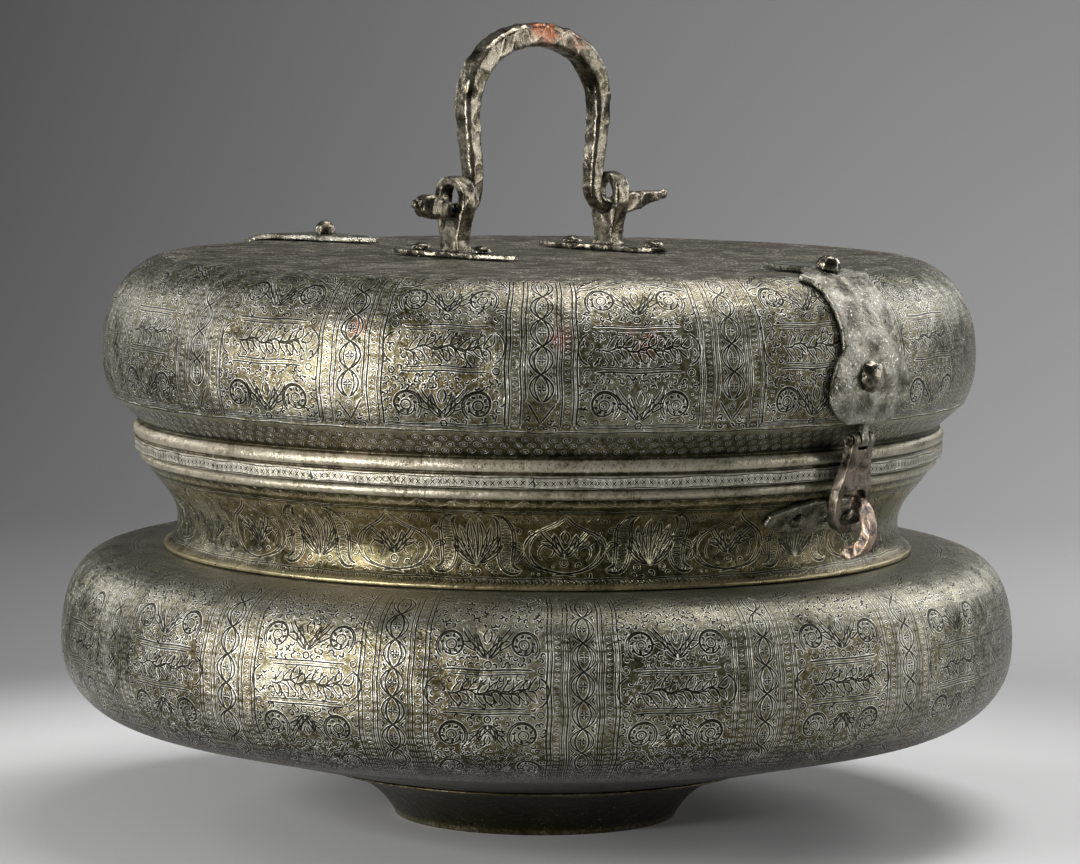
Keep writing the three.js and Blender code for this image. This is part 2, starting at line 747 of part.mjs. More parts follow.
// The hinge's lower leaf: the same plate with two arms that hold the pin.
function hingePlate(places) {
  const [upper, lower] = plateRoot(1, plateTop + 8, plateBottom - 1);
  const away = Math.atan2(hingePinHeight - lower.y, hingePinOut - lower.x);
  const arm = new THREE.Shape();
  arm.moveTo(lower.x, lower.y);
  arm.absarc(hingePinOut, hingePinHeight, hingeKnuckle, away - Math.PI / 2, away + Math.PI * 0.62, false);
  arm.lineTo(upper.x, upper.y);
  arm.closePath();
  const inner = hingeMiddleWidth / 2 + seat;
  const arms = [-1, 1].map((way) => {
    const [from, to] = [way * inner, way * (inner + hingeEarWidth)].sort((p, q) => p - q);
    return plateAlongX(arm, from, to, 1);
  });
  const pinHole = barAlongX(hingePinRadius + running, -20, 20, hingePinOut, hingePinHeight, 12);
  const body = joined([neckPlate(1), ...arms]);
  return toGeometry(cut(body, [pinHole, ...places.map((place) => rivetHole().applyMatrix4(place))]));
}

// A pin along X with a flat head beyond each outer knuckle.
function headedPin(radius, half, y, z) {
  const head = radius + 0.9;
  const profile = [
    [0, -half - 1.6], [head - 0.5, -half - 1.6], [head, -half - seat], [radius, -half - seat],
    [radius, half + seat], [head, half + seat], [head - 0.5, half + 1.6], [0, half + 1.6],
  ].map(([r, h]) => new THREE.Vector2(r, h));
  const pin = turned(profile, 12);
  pin.rotateY(Math.PI / 2);
  pin.translate(0, y, z);
  return pin;
}

const haspLean = Math.atan2(
  claspPinOut - (lidBandRadius + haspBandGap + haspThickness / 2), claspPinHeight - grooveHeight,
);

// The hasp: a bar that hangs from two knuckles and widens to a pierced, rounded end.
function hasp() {
  const half = haspKnuckleHalf;
  const outline = new THREE.Shape();
  outline.moveTo(-half, 0);
  outline.lineTo(half, 0);
  outline.quadraticCurveTo(half + 0.6, -haspHoleTop * 0.6, haspEyeHalf - 0.4, -haspHoleTop);
  outline.bezierCurveTo(haspEyeHalf + 0.4, -haspHoleBottom, haspEyeHalf * 0.75, -haspLength, 0, -haspLength);
  outline.bezierCurveTo(-haspEyeHalf * 0.75, -haspLength, -haspEyeHalf - 0.4, -haspHoleBottom,
    -haspEyeHalf + 0.4, -haspHoleTop);
  outline.quadraticCurveTo(-half - 0.6, -haspHoleTop * 0.6, -half, 0);
  const [sideX, bendX] = [haspHoleHalf, haspHoleHalf - haspHoleBend];
  const [upperBend, lowerBend] = [-haspHoleTop - haspHoleBend, -haspHoleBottom + haspHoleBend];
  const eye = new THREE.Path();
  eye.moveTo(sideX, lowerBend);
  eye.absarc(bendX, upperBend, haspHoleBend, 0, Math.PI / 2, false);
  eye.absarc(-bendX, upperBend, haspHoleBend, Math.PI / 2, Math.PI, false);
  eye.absarc(-bendX, lowerBend, haspHoleBend, Math.PI, 1.5 * Math.PI, false);
  eye.absarc(bendX, lowerBend, haspHoleBend, 1.5 * Math.PI, 2 * Math.PI, false);
  outline.holes.push(eye);
  const stretch = { depth: haspThickness, bevelEnabled: false, curveSegments: 8 };
  const bar = new THREE.ExtrudeGeometry(outline, stretch);
  bar.translate(0, 0, -haspThickness / 2);
  bar.rotateX(Math.PI / 2);
  const knuckle = barAlongX(claspKnuckle, -half, half, 0, 0);
  const pinHole = barAlongX(pinRadius + running, -half - 1, half + 1, 0, 0, 12);
  const slotHalf = strapKnuckleWidth / 2 + seat;
  const slot = barAlongX(claspKnuckle + 2 * seat, -slotHalf, slotHalf, 0, 0);
  const solid = toGeometry(cut(joined([bar, knuckle]), [pinHole, slot]));
  solid.rotateX(haspLean);
  return solid;
}

const haspBarAt = (haspHoleBottom + haspLength) / 2;
const ringOut = claspPinOut - Math.sin(haspLean) * haspBarAt - ringInset;
const ringHeight = claspPinHeight - Math.cos(haspLean) * haspBarAt;

// A hook of square bar that runs through the hasp's eye, as a round with a short, tapered tail.
function latchRing() {
  const inner = ringRadius - ringDepth;
  const tail = ringOut - (rimBeadOut + rimBeadRadius - ringRimGap);
  const top = THREE.MathUtils.degToRad(ringUpperEnd);
  const hook = new THREE.Shape();
  hook.absarc(0, 0, ringRadius, top, -Math.PI / 2, true);
  hook.lineTo(-tail, -ringRadius + 0.4);
  hook.lineTo(-tail + 0.6, -ringRadius + ringDepth * 0.6);
  hook.absarc(0, 0, inner, -Math.PI / 2, top, false);
  hook.closePath();
  const bar = new THREE.ExtrudeGeometry(hook, { depth: ringWidth, bevelEnabled: false, curveSegments: 20 });
  const turn = new THREE.Matrix4().makeBasis(new THREE.Vector3(0, -1, 0), Z, X);
  bar.applyMatrix4(turn);
  return closed(bar);
}

const lugRivetPlaces = lugs.flatMap((lug) => [["front", -1], ["back", 1]].map(([end, way]) => ({
  name: `${lug.side}_lug_rivet_${end}`,
  place: standing(new THREE.Vector3(lug.x, handleOffset + way * lug[end].rivet, lidTop), Z),
})));
const claspStrapRivets = [
  {
    name: "clasp_strap_top_rivet",
    place: rivetPlace(lidSkin, frontRivetAt, 0, -1),
    head: largeHead - 1.2,
    height: 5,
  },
  {
    name: "clasp_strap_side_rivet",
    place: rivetPlace(lidSkin, lobeRivetAt, lobeRivetAside, -1),
    head: largeHead,
    height: 4,
  },
];
const hingeStrapRivets = [
  {
    name: "hinge_strap_top_rivet",
    place: rivetPlace(lidSkin, backRivetAt, 0, 1),
    head: largeHead - 1.6,
    height: 5.6,
  },
  {
    name: "hinge_strap_side_rivet",
    place: rivetPlace(lidSkin, lobeRivetAt - 11, 0, 1),
    head: largeHead - 1,
    height: 3.4,
  },
];
const plateMiddle = THREE.MathUtils.lerp(plateTop, plateBottom, 0.55);
const neckRivets = [["clasp", -1], ["hinge", 1]].flatMap(([name, side]) => [-1, 1].map((way) => ({
  name: `${name}_plate_rivet_${way < 0 ? "left" : "right"}`,
  place: rivetPlace(neckSkin, plateMiddle, way * plateRivets, side),
  side,
})));

const lidHoles = [...lugRivetPlaces, ...claspStrapRivets, ...hingeStrapRivets]
  .map(({ place }) => rivetHole().applyMatrix4(place));
const neckHoles = neckRivets.map(({ place }) => rivetHole().applyMatrix4(place));
const placesOn = (side) => neckRivets.filter((one) => one.side === side).map((one) => one.place);

addPiece("foot_ring", footRing(), tin);
addPiece("belly_shell", bellyShell(), tin);
addPiece("neck_collar", toGeometry(cut(toSolid(neckCollar()), neckHoles)), tin);
addPiece("lid_shell", toGeometry(cut(toSolid(lidShell()), lidHoles)), wornTin);

for (const lug of lugs) {
  addPiece(`handle_lug_${lug.side}`, handleLug(lug), forged).position.set(lug.x, handleOffset, lidTop);
}
for (const { name, place } of lugRivetPlaces) {
  addRivet(name, place, smallHead, 2.6, lugPlate);
}
addPiece("bail_handle", bailHandle(), forged);

addPiece("clasp_strap", claspStrap(claspStrapRivets.map(({ place }) => place)), wornTin);
addPiece("hinge_strap", hingeStrap(hingeStrapRivets.map(({ place }) => place)), wornTin);
for (const { name, place, head, height } of [...claspStrapRivets, ...hingeStrapRivets]) {
  addRivet(name, place, head, height, strapThickness);
}

addPiece("clasp_plate", claspPlate(placesOn(-1)), forged);
addPiece("hinge_plate", hingePlate(placesOn(1)), forged);
for (const { name, place } of neckRivets) {
  addRivet(name, place, smallHead - 0.8, 2, plateThickness);
}

const claspPinHalf = haspKnuckleHalf;
const hingePinHalf = hingeMiddleWidth / 2 + seat + hingeEarWidth;
addPiece("clasp_pin", headedPin(pinRadius, claspPinHalf, -claspPinOut, claspPinHeight), forged);
addPiece("hinge_pin", headedPin(hingePinRadius, hingePinHalf, hingePinOut, hingePinHeight), forged);
addPiece("hasp", hasp(), forged).position.set(0, -claspPinOut, claspPinHeight);
addPiece("latch_ring", latchRing(), copper).position.set(ringAside - ringWidth / 2, -ringOut, ringHeight);

export default bowl;
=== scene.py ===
import json
import math
import random
import bpy
import bmesh
import numpy as np
from mathutils import Matrix, Vector, noise

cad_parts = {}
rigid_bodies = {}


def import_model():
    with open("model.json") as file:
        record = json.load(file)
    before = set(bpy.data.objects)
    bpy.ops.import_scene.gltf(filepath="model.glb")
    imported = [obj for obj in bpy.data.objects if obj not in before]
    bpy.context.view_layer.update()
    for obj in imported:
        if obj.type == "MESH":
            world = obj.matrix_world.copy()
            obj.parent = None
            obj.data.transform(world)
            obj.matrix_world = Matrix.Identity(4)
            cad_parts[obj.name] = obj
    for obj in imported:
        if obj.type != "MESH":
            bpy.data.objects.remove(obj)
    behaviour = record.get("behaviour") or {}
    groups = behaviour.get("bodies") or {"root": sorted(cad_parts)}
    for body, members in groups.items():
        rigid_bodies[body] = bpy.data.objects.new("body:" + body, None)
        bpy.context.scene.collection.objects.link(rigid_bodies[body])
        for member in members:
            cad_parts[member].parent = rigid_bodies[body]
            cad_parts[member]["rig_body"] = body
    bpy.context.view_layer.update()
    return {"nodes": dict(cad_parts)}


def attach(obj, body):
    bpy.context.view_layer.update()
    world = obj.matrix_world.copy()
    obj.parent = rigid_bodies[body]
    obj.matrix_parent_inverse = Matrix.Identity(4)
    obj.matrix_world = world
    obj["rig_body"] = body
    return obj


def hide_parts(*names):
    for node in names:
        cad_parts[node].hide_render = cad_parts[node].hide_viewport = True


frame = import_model()
nodes = frame["nodes"]
MM = 0.001
TAU = 2 * math.pi
PHOTO_SIDE = math.radians(-45.5)


# Materials

def add_node(tree, kind, inputs=None, **settings):
    node = tree.nodes.new(kind)
    for key, value in settings.items():
        setattr(node, key, value)
    for key, value in (inputs or {}).items():
        if isinstance(value, bpy.types.NodeSocket):
            tree.links.new(value, node.inputs[key])
        else:
            node.inputs[key].default_value = value
    return node


def noise_of(tree, where, scale, detail=4.0, roughness=0.6, distortion=0.0):
    node = add_node(tree, "ShaderNodeTexNoise", {
        "Vector": where, "Scale": scale, "Detail": detail, "Roughness": roughness, "Distortion": distortion})
    return node.outputs[0]


def ramp(tree, value, low, high, to_low=0.0, to_high=1.0):
    node = add_node(tree, "ShaderNodeMapRange", {
        "Value": value, "From Min": low, "From Max": high, "To Min": to_low, "To Max": to_high})
    return node.outputs[0]


def mix_colour(tree, share, first, second, blend="MIX"):
    node = add_node(tree, "ShaderNodeMix", data_type="RGBA", blend_type=blend)
    for key, value in ((0, share), (6, first), (7, second)):
        if isinstance(value, bpy.types.NodeSocket):
            tree.links.new(value, node.inputs[key])
        elif isinstance(value, tuple):
            node.inputs[key].default_value = (*value, 1.0)
        else:
            node.inputs[key].default_value = value
    return node.outputs[2]


def calc(tree, operation, first, second=0.0, clamp=False):
    node = add_node(tree, "ShaderNodeMath", {0: first, 1: second}, operation=operation, use_clamp=clamp)
    return node.outputs[0]


COPPER_RED = (0.25, 0.075, 0.03)


def metal(name, dark, middle, light, glint, metallic=0.9, roughness=0.33, bump=0.5, glint_threshold=0.66,
          chased=False, rust=0.0, spots=(), clouds_scale=16):
    """Old metal: clouded patina, fine grain, bright specks, and wear where the mesh says so.

    Chased metal also reads the mesh's groove value: a groove's middle gets painted shade and its edges a
    painted highlight, partly worn tin.
    """
    material = bpy.data.materials.new(name)
    material.use_nodes = True
    tree = material.node_tree
    tree.nodes.clear()
    out = add_node(tree, "ShaderNodeOutputMaterial")
    shader = add_node(tree, "ShaderNodeBsdfPrincipled")
    tree.links.new(shader.outputs[0], out.inputs[0])
    shader.inputs["Metallic"].default_value = metallic
    place = add_node(tree, "ShaderNodeTexCoord").outputs["Object"]
    clouds = noise_of(tree, place, clouds_scale, 5, 0.6, 0.5)
    stains = noise_of(tree, place, 95, 6, 0.7, 0.8)
    pores = noise_of(tree, place, 620, 4, 0.7)
    speck_noise = noise_of(tree, place, 1000, 3, 0.6)
    tone = calc(tree, "MULTIPLY", ramp(tree, clouds, 0.34, 0.66), 0.36)
    tone = calc(tree, "ADD", tone, calc(tree, "MULTIPLY", ramp(tree, stains, 0.32, 0.68), 0.36))
    tone = calc(tree, "ADD", tone, calc(tree, "MULTIPLY", ramp(tree, pores, 0.34, 0.66), 0.42))
    # Worn and painted-light value from the mesh: lighter where tin is worn on convex turns and where light
    # is painted, darker where shade is painted.
    wear = add_node(tree, "ShaderNodeAttribute", attribute_name="wear").outputs["Fac"]
    tone = calc(tree, "ADD", tone, calc(tree, "MULTIPLY", wear, 0.55), clamp=True)
    colour = mix_colour(tree, ramp(tree, tone, 0.12, 0.6), dark, middle)
    colour = mix_colour(tree, ramp(tree, tone, 0.55, 1.1), colour, light)
    if rust > 0:
        patches = calc(tree, "MULTIPLY", ramp(tree, clouds, 0.6, 0.66), ramp(tree, stains, 0.5, 0.6))
        colour = mix_colour(tree, calc(tree, "MULTIPLY", patches, rust), colour, COPPER_RED)
    for spot, size in spots:
        away = add_node(tree, "ShaderNodeVectorMath", {0: place, 1: spot}, operation="DISTANCE")
        near = ramp(tree, away.outputs["Value"], size, size * 0.3)
        patch = calc(tree, "MULTIPLY", near, ramp(tree, stains, 0.44, 0.56))
        colour = mix_colour(tree, patch, colour, COPPER_RED)
    # Painted glints: small flecks of the glint colour, a painted highlight for sparkle on the metal.
    painted_glints = calc(tree, "MULTIPLY", ramp(tree, speck_noise, glint_threshold, glint_threshold + 0.05), ramp(tree, stains, 0.45, 0.6))
    colour = mix_colour(tree, painted_glints, colour, glint)
    height = calc(tree, "ADD", calc(tree, "MULTIPLY", pores, 0.5), calc(tree, "MULTIPLY", stains, 2.4))
    height = calc(tree, "ADD", height, calc(tree, "MULTIPLY", speck_noise, 0.15))
    rough = add_node(tree, "ShaderNodeBump", {
        "Strength": bump, "Distance": 0.0009, "Height": height}).outputs[0]
    gloss = calc(tree, "ADD", ramp(tree, stains, 0.3, 0.7, roughness - 0.08, roughness + 0.1),
                 calc(tree, "MULTIPLY", ramp(tree, pores, 0.3, 0.7), 0.12))
    if chased:
        groove = add_node(tree, "ShaderNodeAttribute", attribute_name="groove").outputs["Fac"]
        # Painted light along each groove: its edges get a painted highlight, partly worn tin, and its middle
        # a painted shade for the shade inside the groove.
        edge = calc(tree, "MULTIPLY", ramp(tree, groove, 0.06, 0.22), ramp(tree, groove, 0.62, 0.48))
        painted_groove_shade = ramp(tree, groove, 0.48, 0.66)
        rubbed_and_highlight = calc(tree, "MULTIPLY", edge, ramp(tree, stains, 0.34, 0.64, 0.2, 0.9))
        colour = mix_colour(tree, rubbed_and_highlight, colour, glint)
        # Near-black painted shade in the middle of each groove.
        colour = mix_colour(tree, calc(tree, "MULTIPLY", painted_groove_shade, 0.92), colour, (0.012, 0.010, 0.004))
        cut_height = calc(tree, "SUBTRACT", calc(tree, "MULTIPLY", edge, 0.35), painted_groove_shade)
        rough = add_node(tree, "ShaderNodeBump", {
            "Strength": 1.0, "Distance": 0.0004, "Height": cut_height, "Normal": rough}).outputs[0]
    tree.links.new(colour, shader.inputs["Base Color"])
    tree.links.new(gloss, shader.inputs["Roughness"])
    tree.links.new(rough, shader.inputs["Normal"])
    return material


def on_side(degrees, radius, height):
    """A place in metres, degrees to the right of the photo's view."""
    turn = PHOTO_SIDE + math.radians(degrees)
    return (radius * math.sin(turn) * MM, -radius * math.cos(turn) * MM, height * MM)


skin_metal = metal("patinated_tin", (0.022, 0.018, 0.006), (0.09, 0.074, 0.034), (0.31, 0.288, 0.215),
                   (0.97, 0.95, 0.89), metallic=0.85, roughness=0.29, chased=True, rust=0.25, bump=0.45,
                   spots=((on_side(12.5, 171, 203), 0.009), (on_side(2.5, 171, 204), 0.006),
                          (on_side(-23, 171, 206), 0.005), (on_side(-31, 161, 150), 0.006)))
neck_metal = metal("olive_neck", (0.026, 0.022, 0.007), (0.14, 0.115, 0.050), (0.36, 0.31, 0.18),
                   (0.72, 0.67, 0.49), metallic=0.75, roughness=0.25, chased=True, rust=0.25,
                   clouds_scale=30, bump=0.35)
# Lighter base on the ring mouldings: worn tin, and partly a painted highlight where the mouldings catch the
# lamps.
ring_metal = metal("rubbed_rings_and_highlight", (0.026, 0.021, 0.009), (0.145, 0.124, 0.074), (0.44, 0.405, 0.31),
                   (0.97, 0.95, 0.87), metallic=0.55, roughness=0.28, chased=True, rust=0.4, bump=0.4,
                   clouds_scale=70)
lid_top_metal = metal("rubbed_lid_top", (0.03, 0.025, 0.017), (0.085, 0.072, 0.052), (0.19, 0.168, 0.13),
                      (0.75, 0.71, 0.62), metallic=0.7, roughness=0.38, bump=0.6, glint_threshold=0.56)
inside_metal = metal("inner_tin", (0.13, 0.125, 0.11), (0.29, 0.28, 0.255), (0.46, 0.45, 0.42),
                     (0.7, 0.69, 0.66), roughness=0.4, bump=0.2)
forged_metal = metal("forged_bar", (0.016, 0.013, 0.007), (0.075, 0.064, 0.043), (0.30, 0.27, 0.21),
                     (0.9, 0.87, 0.8), roughness=0.2, rust=0.8, bump=0.25,
                     spots=(((0.004, 0.004, 0.316), 0.015), ((0.022, 0.004, 0.311), 0.009)))
strap_metal = metal("rubbed_strap", (0.03, 0.026, 0.017), (0.12, 0.108, 0.082), (0.32, 0.30, 0.25),
                    (0.95, 0.93, 0.88), roughness=0.23, rust=0.25, bump=0.6, clouds_scale=75, glint_threshold=0.6)
hasp_metal = metal("dark_hasp", (0.02, 0.016, 0.01), (0.07, 0.058, 0.042), (0.22, 0.19, 0.15),
                   (0.8, 0.72, 0.62), roughness=0.27, rust=0.5, bump=0.3, clouds_scale=60)
hook_metal = metal("worn_hook", (0.06, 0.045, 0.035), (0.19, 0.16, 0.138), (0.52, 0.36, 0.26),
                   (0.95, 0.9, 0.84), roughness=0.24, rust=0.6, bump=0.3, clouds_scale=90)


# Turned skins

def bend(p0, p1, p2, p3, count=14):
    t = np.linspace(0, 1, count + 1)[:, None]
    p0, p1, p2, p3 = (np.array(p, float) for p in (p0, p1, p2, p3))
    return (1 - t) ** 3 * p0 + 3 * (1 - t) ** 2 * t * p1 + 3 * (1 - t) * t ** 2 * p2 + t ** 3 * p3


def run(*points, step=3.0):
    """A straight run through the points, with a place at least every step millimetres."""
    places = [np.array(points[0], float)]
    for a, b in zip(points, points[1:]):
        a, b = np.array(a, float), np.array(b, float)
        count = max(1, int(math.ceil(np.linalg.norm(b - a) / step)))
        places += [a + (b - a) * k / count for k in range(1, count + 1)]
    return np.array(places)


def arc(radius, height, size, start, stop, count=8):
    angles = np.radians(np.linspace(start, stop, count + 1))
    return np.stack([radius + size * np.cos(angles), height + size * np.sin(angles)], 1)


def path(*parts):
    points = np.concatenate([np.atleast_2d(part) for part in parts])
    keep = np.ones(len(points), bool)
    keep[1:] = np.linalg.norm(np.diff(points, axis=0), axis=1) > 1e-4
    return points[keep]


class Skin:
    """The outer face of a turned piece, from its lower edge upwards, in millimetres."""

    def __init__(self, points, hollow=0.16, painted_light_by_height=((0, 0), (1, 0))):
        self.points = points
        self.hollow = hollow
        steps = np.linalg.norm(np.diff(points, axis=0), axis=1)
        self.length = np.concatenate([[0], np.cumsum(steps)])
        tangent = np.gradient(points, self.length, axis=0)
        tangent /= np.linalg.norm(tangent, axis=1)[:, None]
        self.outward = np.stack([tangent[:, 1], -tangent[:, 0]], 1)
        turn = np.gradient(np.unwrap(np.arctan2(tangent[:, 1], tangent[:, 0])), self.length)
        rounded = np.convolve(turn, np.ones(3) / 3, mode="same")
        # Lighter on convex turns, where tin is worn, and darker in concave turns; the height table adds
        # painted light and shade on top.
        self.wear = np.clip(rounded * 9, -0.6, 0.65) + np.interp(points[:, 1], *zip(*painted_light_by_height))

    def where(self, radius=None, height=None, near=None):
        """Distance along the skin of the place with that radius or height, nearest to near."""
        value = self.points[:, 0] - radius if radius is not None else self.points[:, 1] - height
        crossings = np.nonzero(value[:-1] * value[1:] <= 0)[0]
        found = [self.length[i] + (self.length[i + 1] - self.length[i]) * abs(value[i]) /
                 max(1e-9, abs(value[i]) + abs(value[i + 1])) for i in crossings]
        return min(found, key=lambda one: abs(one - (near if near is not None else found[0])))

    def at(self, along, angle, rise=0.0):
        along, angle = np.broadcast_arrays(np.asarray(along, float), np.asarray(angle, float))
        radius = np.interp(along, self.length, self.points[:, 0])
        height = np.interp(along, self.length, self.points[:, 1])
        out_r = np.interp(along, self.length, self.outward[:, 0])
        out_z = np.interp(along, self.length, self.outward[:, 1])
        beaten = 0.5 + 0.25 * np.sin(5 * angle + height / 13 + 1) + 0.25 * np.sin(11 * angle - height / 9)
        beaten = beaten * np.clip(radius / 60, 0, 1)
        depth = rise - self.hollow * beaten
        radius = radius + depth * out_r
        height = height + depth * out_z
        return np.stack([radius * np.sin(angle), -radius * np.cos(angle), height], -1) * MM


def new_piece(name, vertices, faces, materials, body, replaces=(), slot=None, kinds=None, **values):
    mesh = bpy.data.meshes.new(name)
    mesh.from_pydata([tuple(v) for v in vertices], [], [tuple(f) for f in faces])
    for material in materials:
        mesh.materials.append(material)
    if kinds is not None:
        mesh.polygons.foreach_set("material_index", np.array(kinds, np.int32))
    for key, value in values.items():
        mesh.attributes.new(key, "FLOAT", "POINT").data.foreach_set("value", np.array(value, np.float32))
    mesh.polygons.foreach_set("use_smooth", [True] * len(mesh.polygons))
    mesh.update()
    piece = bpy.data.objects.new(name, mesh)
    bpy.context.scene.collection.objects.link(piece)
    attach(piece, body)
    if replaces:
        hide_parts(*replaces)
    return piece


def merge_ends(piece):
    work = bmesh.new()
    work.from_mesh(piece.data)
    bmesh.ops.remove_doubles(work, verts=work.verts, dist=1e-6)
    bmesh.ops.dissolve_degenerate(work, edges=work.edges, dist=1e-7)
    work.to_mesh(piece.data)
    work.free()


def turned(name, skin, inner, materials, body, replaces, segments=320, kind_of=None):
    """A closed shell: the outer skin, and the inner outline that leads back to its start."""
    angles = np.linspace(0, TAU, segments, endpoint=False)
    outer = skin.at(skin.length[:, None], angles[None, :])
    within = np.stack([inner[:, 0, None] * np.sin(angles), -inner[:, 0, None] * np.cos(angles),
                       np.repeat(inner[:, 1, None], segments, 1)], -1) * MM
    grid = np.concatenate([outer, within])
    rows = len(grid)
    wear = np.concatenate([skin.wear, np.zeros(len(inner))])
    faces, kinds = [], []
    closed = np.linalg.norm(grid[0, 0] - grid[-1, 0]) > 1e-6 and grid[0, :, :2].any()
    for i in range(rows if closed else rows - 1):
        k = (i + 1) % rows
        kind = kind_of(i) if kind_of and i < len(outer) - 1 else (0 if i < len(outer) - 1 else 1)
        for j in range(segments):
            m = (j + 1) % segments
            faces.append((i * segments + j, i * segments + m, k * segments + m, k * segments + j))
            kinds.append(kind)
    piece = new_piece(name, grid.reshape(-1, 3), faces, materials, body, replaces=replaces,
                      slot="tinned_copper", wear=np.repeat(wear, segments), kinds=kinds)
    merge_ends(piece)
    return piece


# The belly's height table is painted shade low on the belly and painted light on its shoulder.
belly_skin = Skin(path(
    run((0, 22), (86, 22), step=9), run((88, 22.1), (124, 30.6), (162, 39.6), step=4),
    bend((162, 39.6), (178, 43), (189.75, 54), (189.75, 71)),
    bend((189.75, 71), (189.75, 92), (184, 107.7), (164, 107.7)),
    run((164, 107.7), (141.5, 107.7), step=3)),
    painted_light_by_height=((22, -1.0), (46, -0.9), (62, 0.0), (96, 0.1), (107, 0.8)))
belly_inner = path(
    run((141.5, 107.6), (141.5, 105.8)), run((141.5, 105.8), (163, 105.8), step=6),
    bend((163, 105.8), (182.5, 105.8), (188, 91), (188, 71), 8),
    bend((188, 71), (188, 55), (177, 45.2), (161.6, 41.5), 8),
    run((161.6, 41.5), (88, 24), (0, 24), step=12))

# The foot's height table darkens the whole foot: painted shade.
foot_skin = Skin(path(
    run((54.5, 0.0), (56.2, 0.0)), run((56.5, 0.5), (56.9, 1.6)),
    bend((56.9, 1.6), (61.5, 9.5), (70, 17.6), (87.4, 20.9)), run((87.6, 21.1), (87.6, 21.6))),
    hollow=0.05, painted_light_by_height=((0, -0.6), (22, -0.6)))
foot_inner = path(
    run((87.2, 21.7), (73.8, 21.7), step=5), bend((73.8, 21.7), (63, 17), (57, 9), (53.8, 0.2), 8))

neck_skin = Skin(path(
    run((148.6, 108.15), (149.0, 108.3), (149.0, 109.3), step=1),
    bend((148.9, 109.5), (145.6, 110.9), (143.5, 114.2), (143.5, 119.5), 10),
    bend((143.5, 119.5), (143.5, 127.7), (149.9, 133.2), (153.7, 138.4), 14),
    run((153.9, 138.9), (154.4, 139.2), (156.2, 142.2), step=1),
    arc(156.6, 144.6, 2.05, -88, 90, 10), run((155.4, 146.8), (155.4, 150.3), step=1.5),
    run((155.2, 150.6), (153.6, 150.6))), hollow=0.08)
neck_inner = path(
    run((153.4, 150.4), (153.4, 144.5), step=3), run((153.4, 144.5), (151.6, 139)),
    bend((151.6, 139), (147.9, 133.5), (141.5, 128), (141.5, 119.5), 8),
    run((141.5, 119.5), (141.5, 108.1), step=4))

# The lid's height table lightens its side a little near 205 mm: painted light.
lid_skin = Skin(path(
    run((158.3, 146.95), (160.4, 146.95), step=1), run((160.7, 147.2), (161.0, 151.6), step=1.2),
    run((160.9, 151.9), (160.3, 152.1), (159.9, 152.6), step=0.5),
    bend((159.9, 152.7), (162.0, 153.4), (161.9, 157.5), (158.6, 158.4), 10),
    run((158.5, 158.6), (161.9, 161.6), (166.4, 165.6), (169.3, 168.2), step=1.4),
    run((169.6, 168.5), (169.75, 169.0), step=0.5),
    bend((169.75, 169.2), (171.9, 172.9), (173.4, 178), (173.4, 187), 12),
    bend((173.4, 187), (173.4, 210), (159.9, 223.7), (144, 223.9), 22),
    run((143.7, 223.9), (60, 223.95), (0, 223.95), step=7)), painted_light_by_height=((170, 0.0), (205, 0.05), (221, 0.0)))
lid_inner = path(
    run((0, 222), (144, 222), step=14), bend((144, 222), (158.5, 222), (171.4, 209), (171.4, 187), 8),
    bend((171.4, 187), (171.4, 178), (170, 173), (167.6, 169.4), 6), run((167.6, 169.4), (156.5, 157.2)),
    run((156.5, 157.2), (157.7, 152.6), (157.7, 147.1), step=3))


# Rows low on the lid take the lighter ring material, partly a painted highlight.
def lid_kind(i):
    if lid_skin.points[i, 1] < 158.6:
        return 3
    return 2 if lid_skin.points[i, 1] > 223 and lid_skin.points[i, 0] < 153 else 0


# Rows high on the neck take the lighter ring material, partly a painted highlight.
def neck_kind(i):
    return 2 if neck_skin.points[i, 1] > 142 else 0


turned("belly", belly_skin, belly_inner, [skin_metal, inside_metal], "bowl", ["belly_shell"])
turned("foot", foot_skin, foot_inner, [skin_metal, skin_metal], "bowl", ["foot_ring"], segments=192)
turned("neck", neck_skin, neck_inner, [neck_metal, inside_metal, ring_metal], "bowl", ["neck_collar"],
       kind_of=neck_kind)
turned("lid", lid_skin, lid_inner, [skin_metal, inside_metal, lid_top_metal, ring_metal], "lid",
       ["lid_shell"], kind_of=lid_kind)


# Ornament

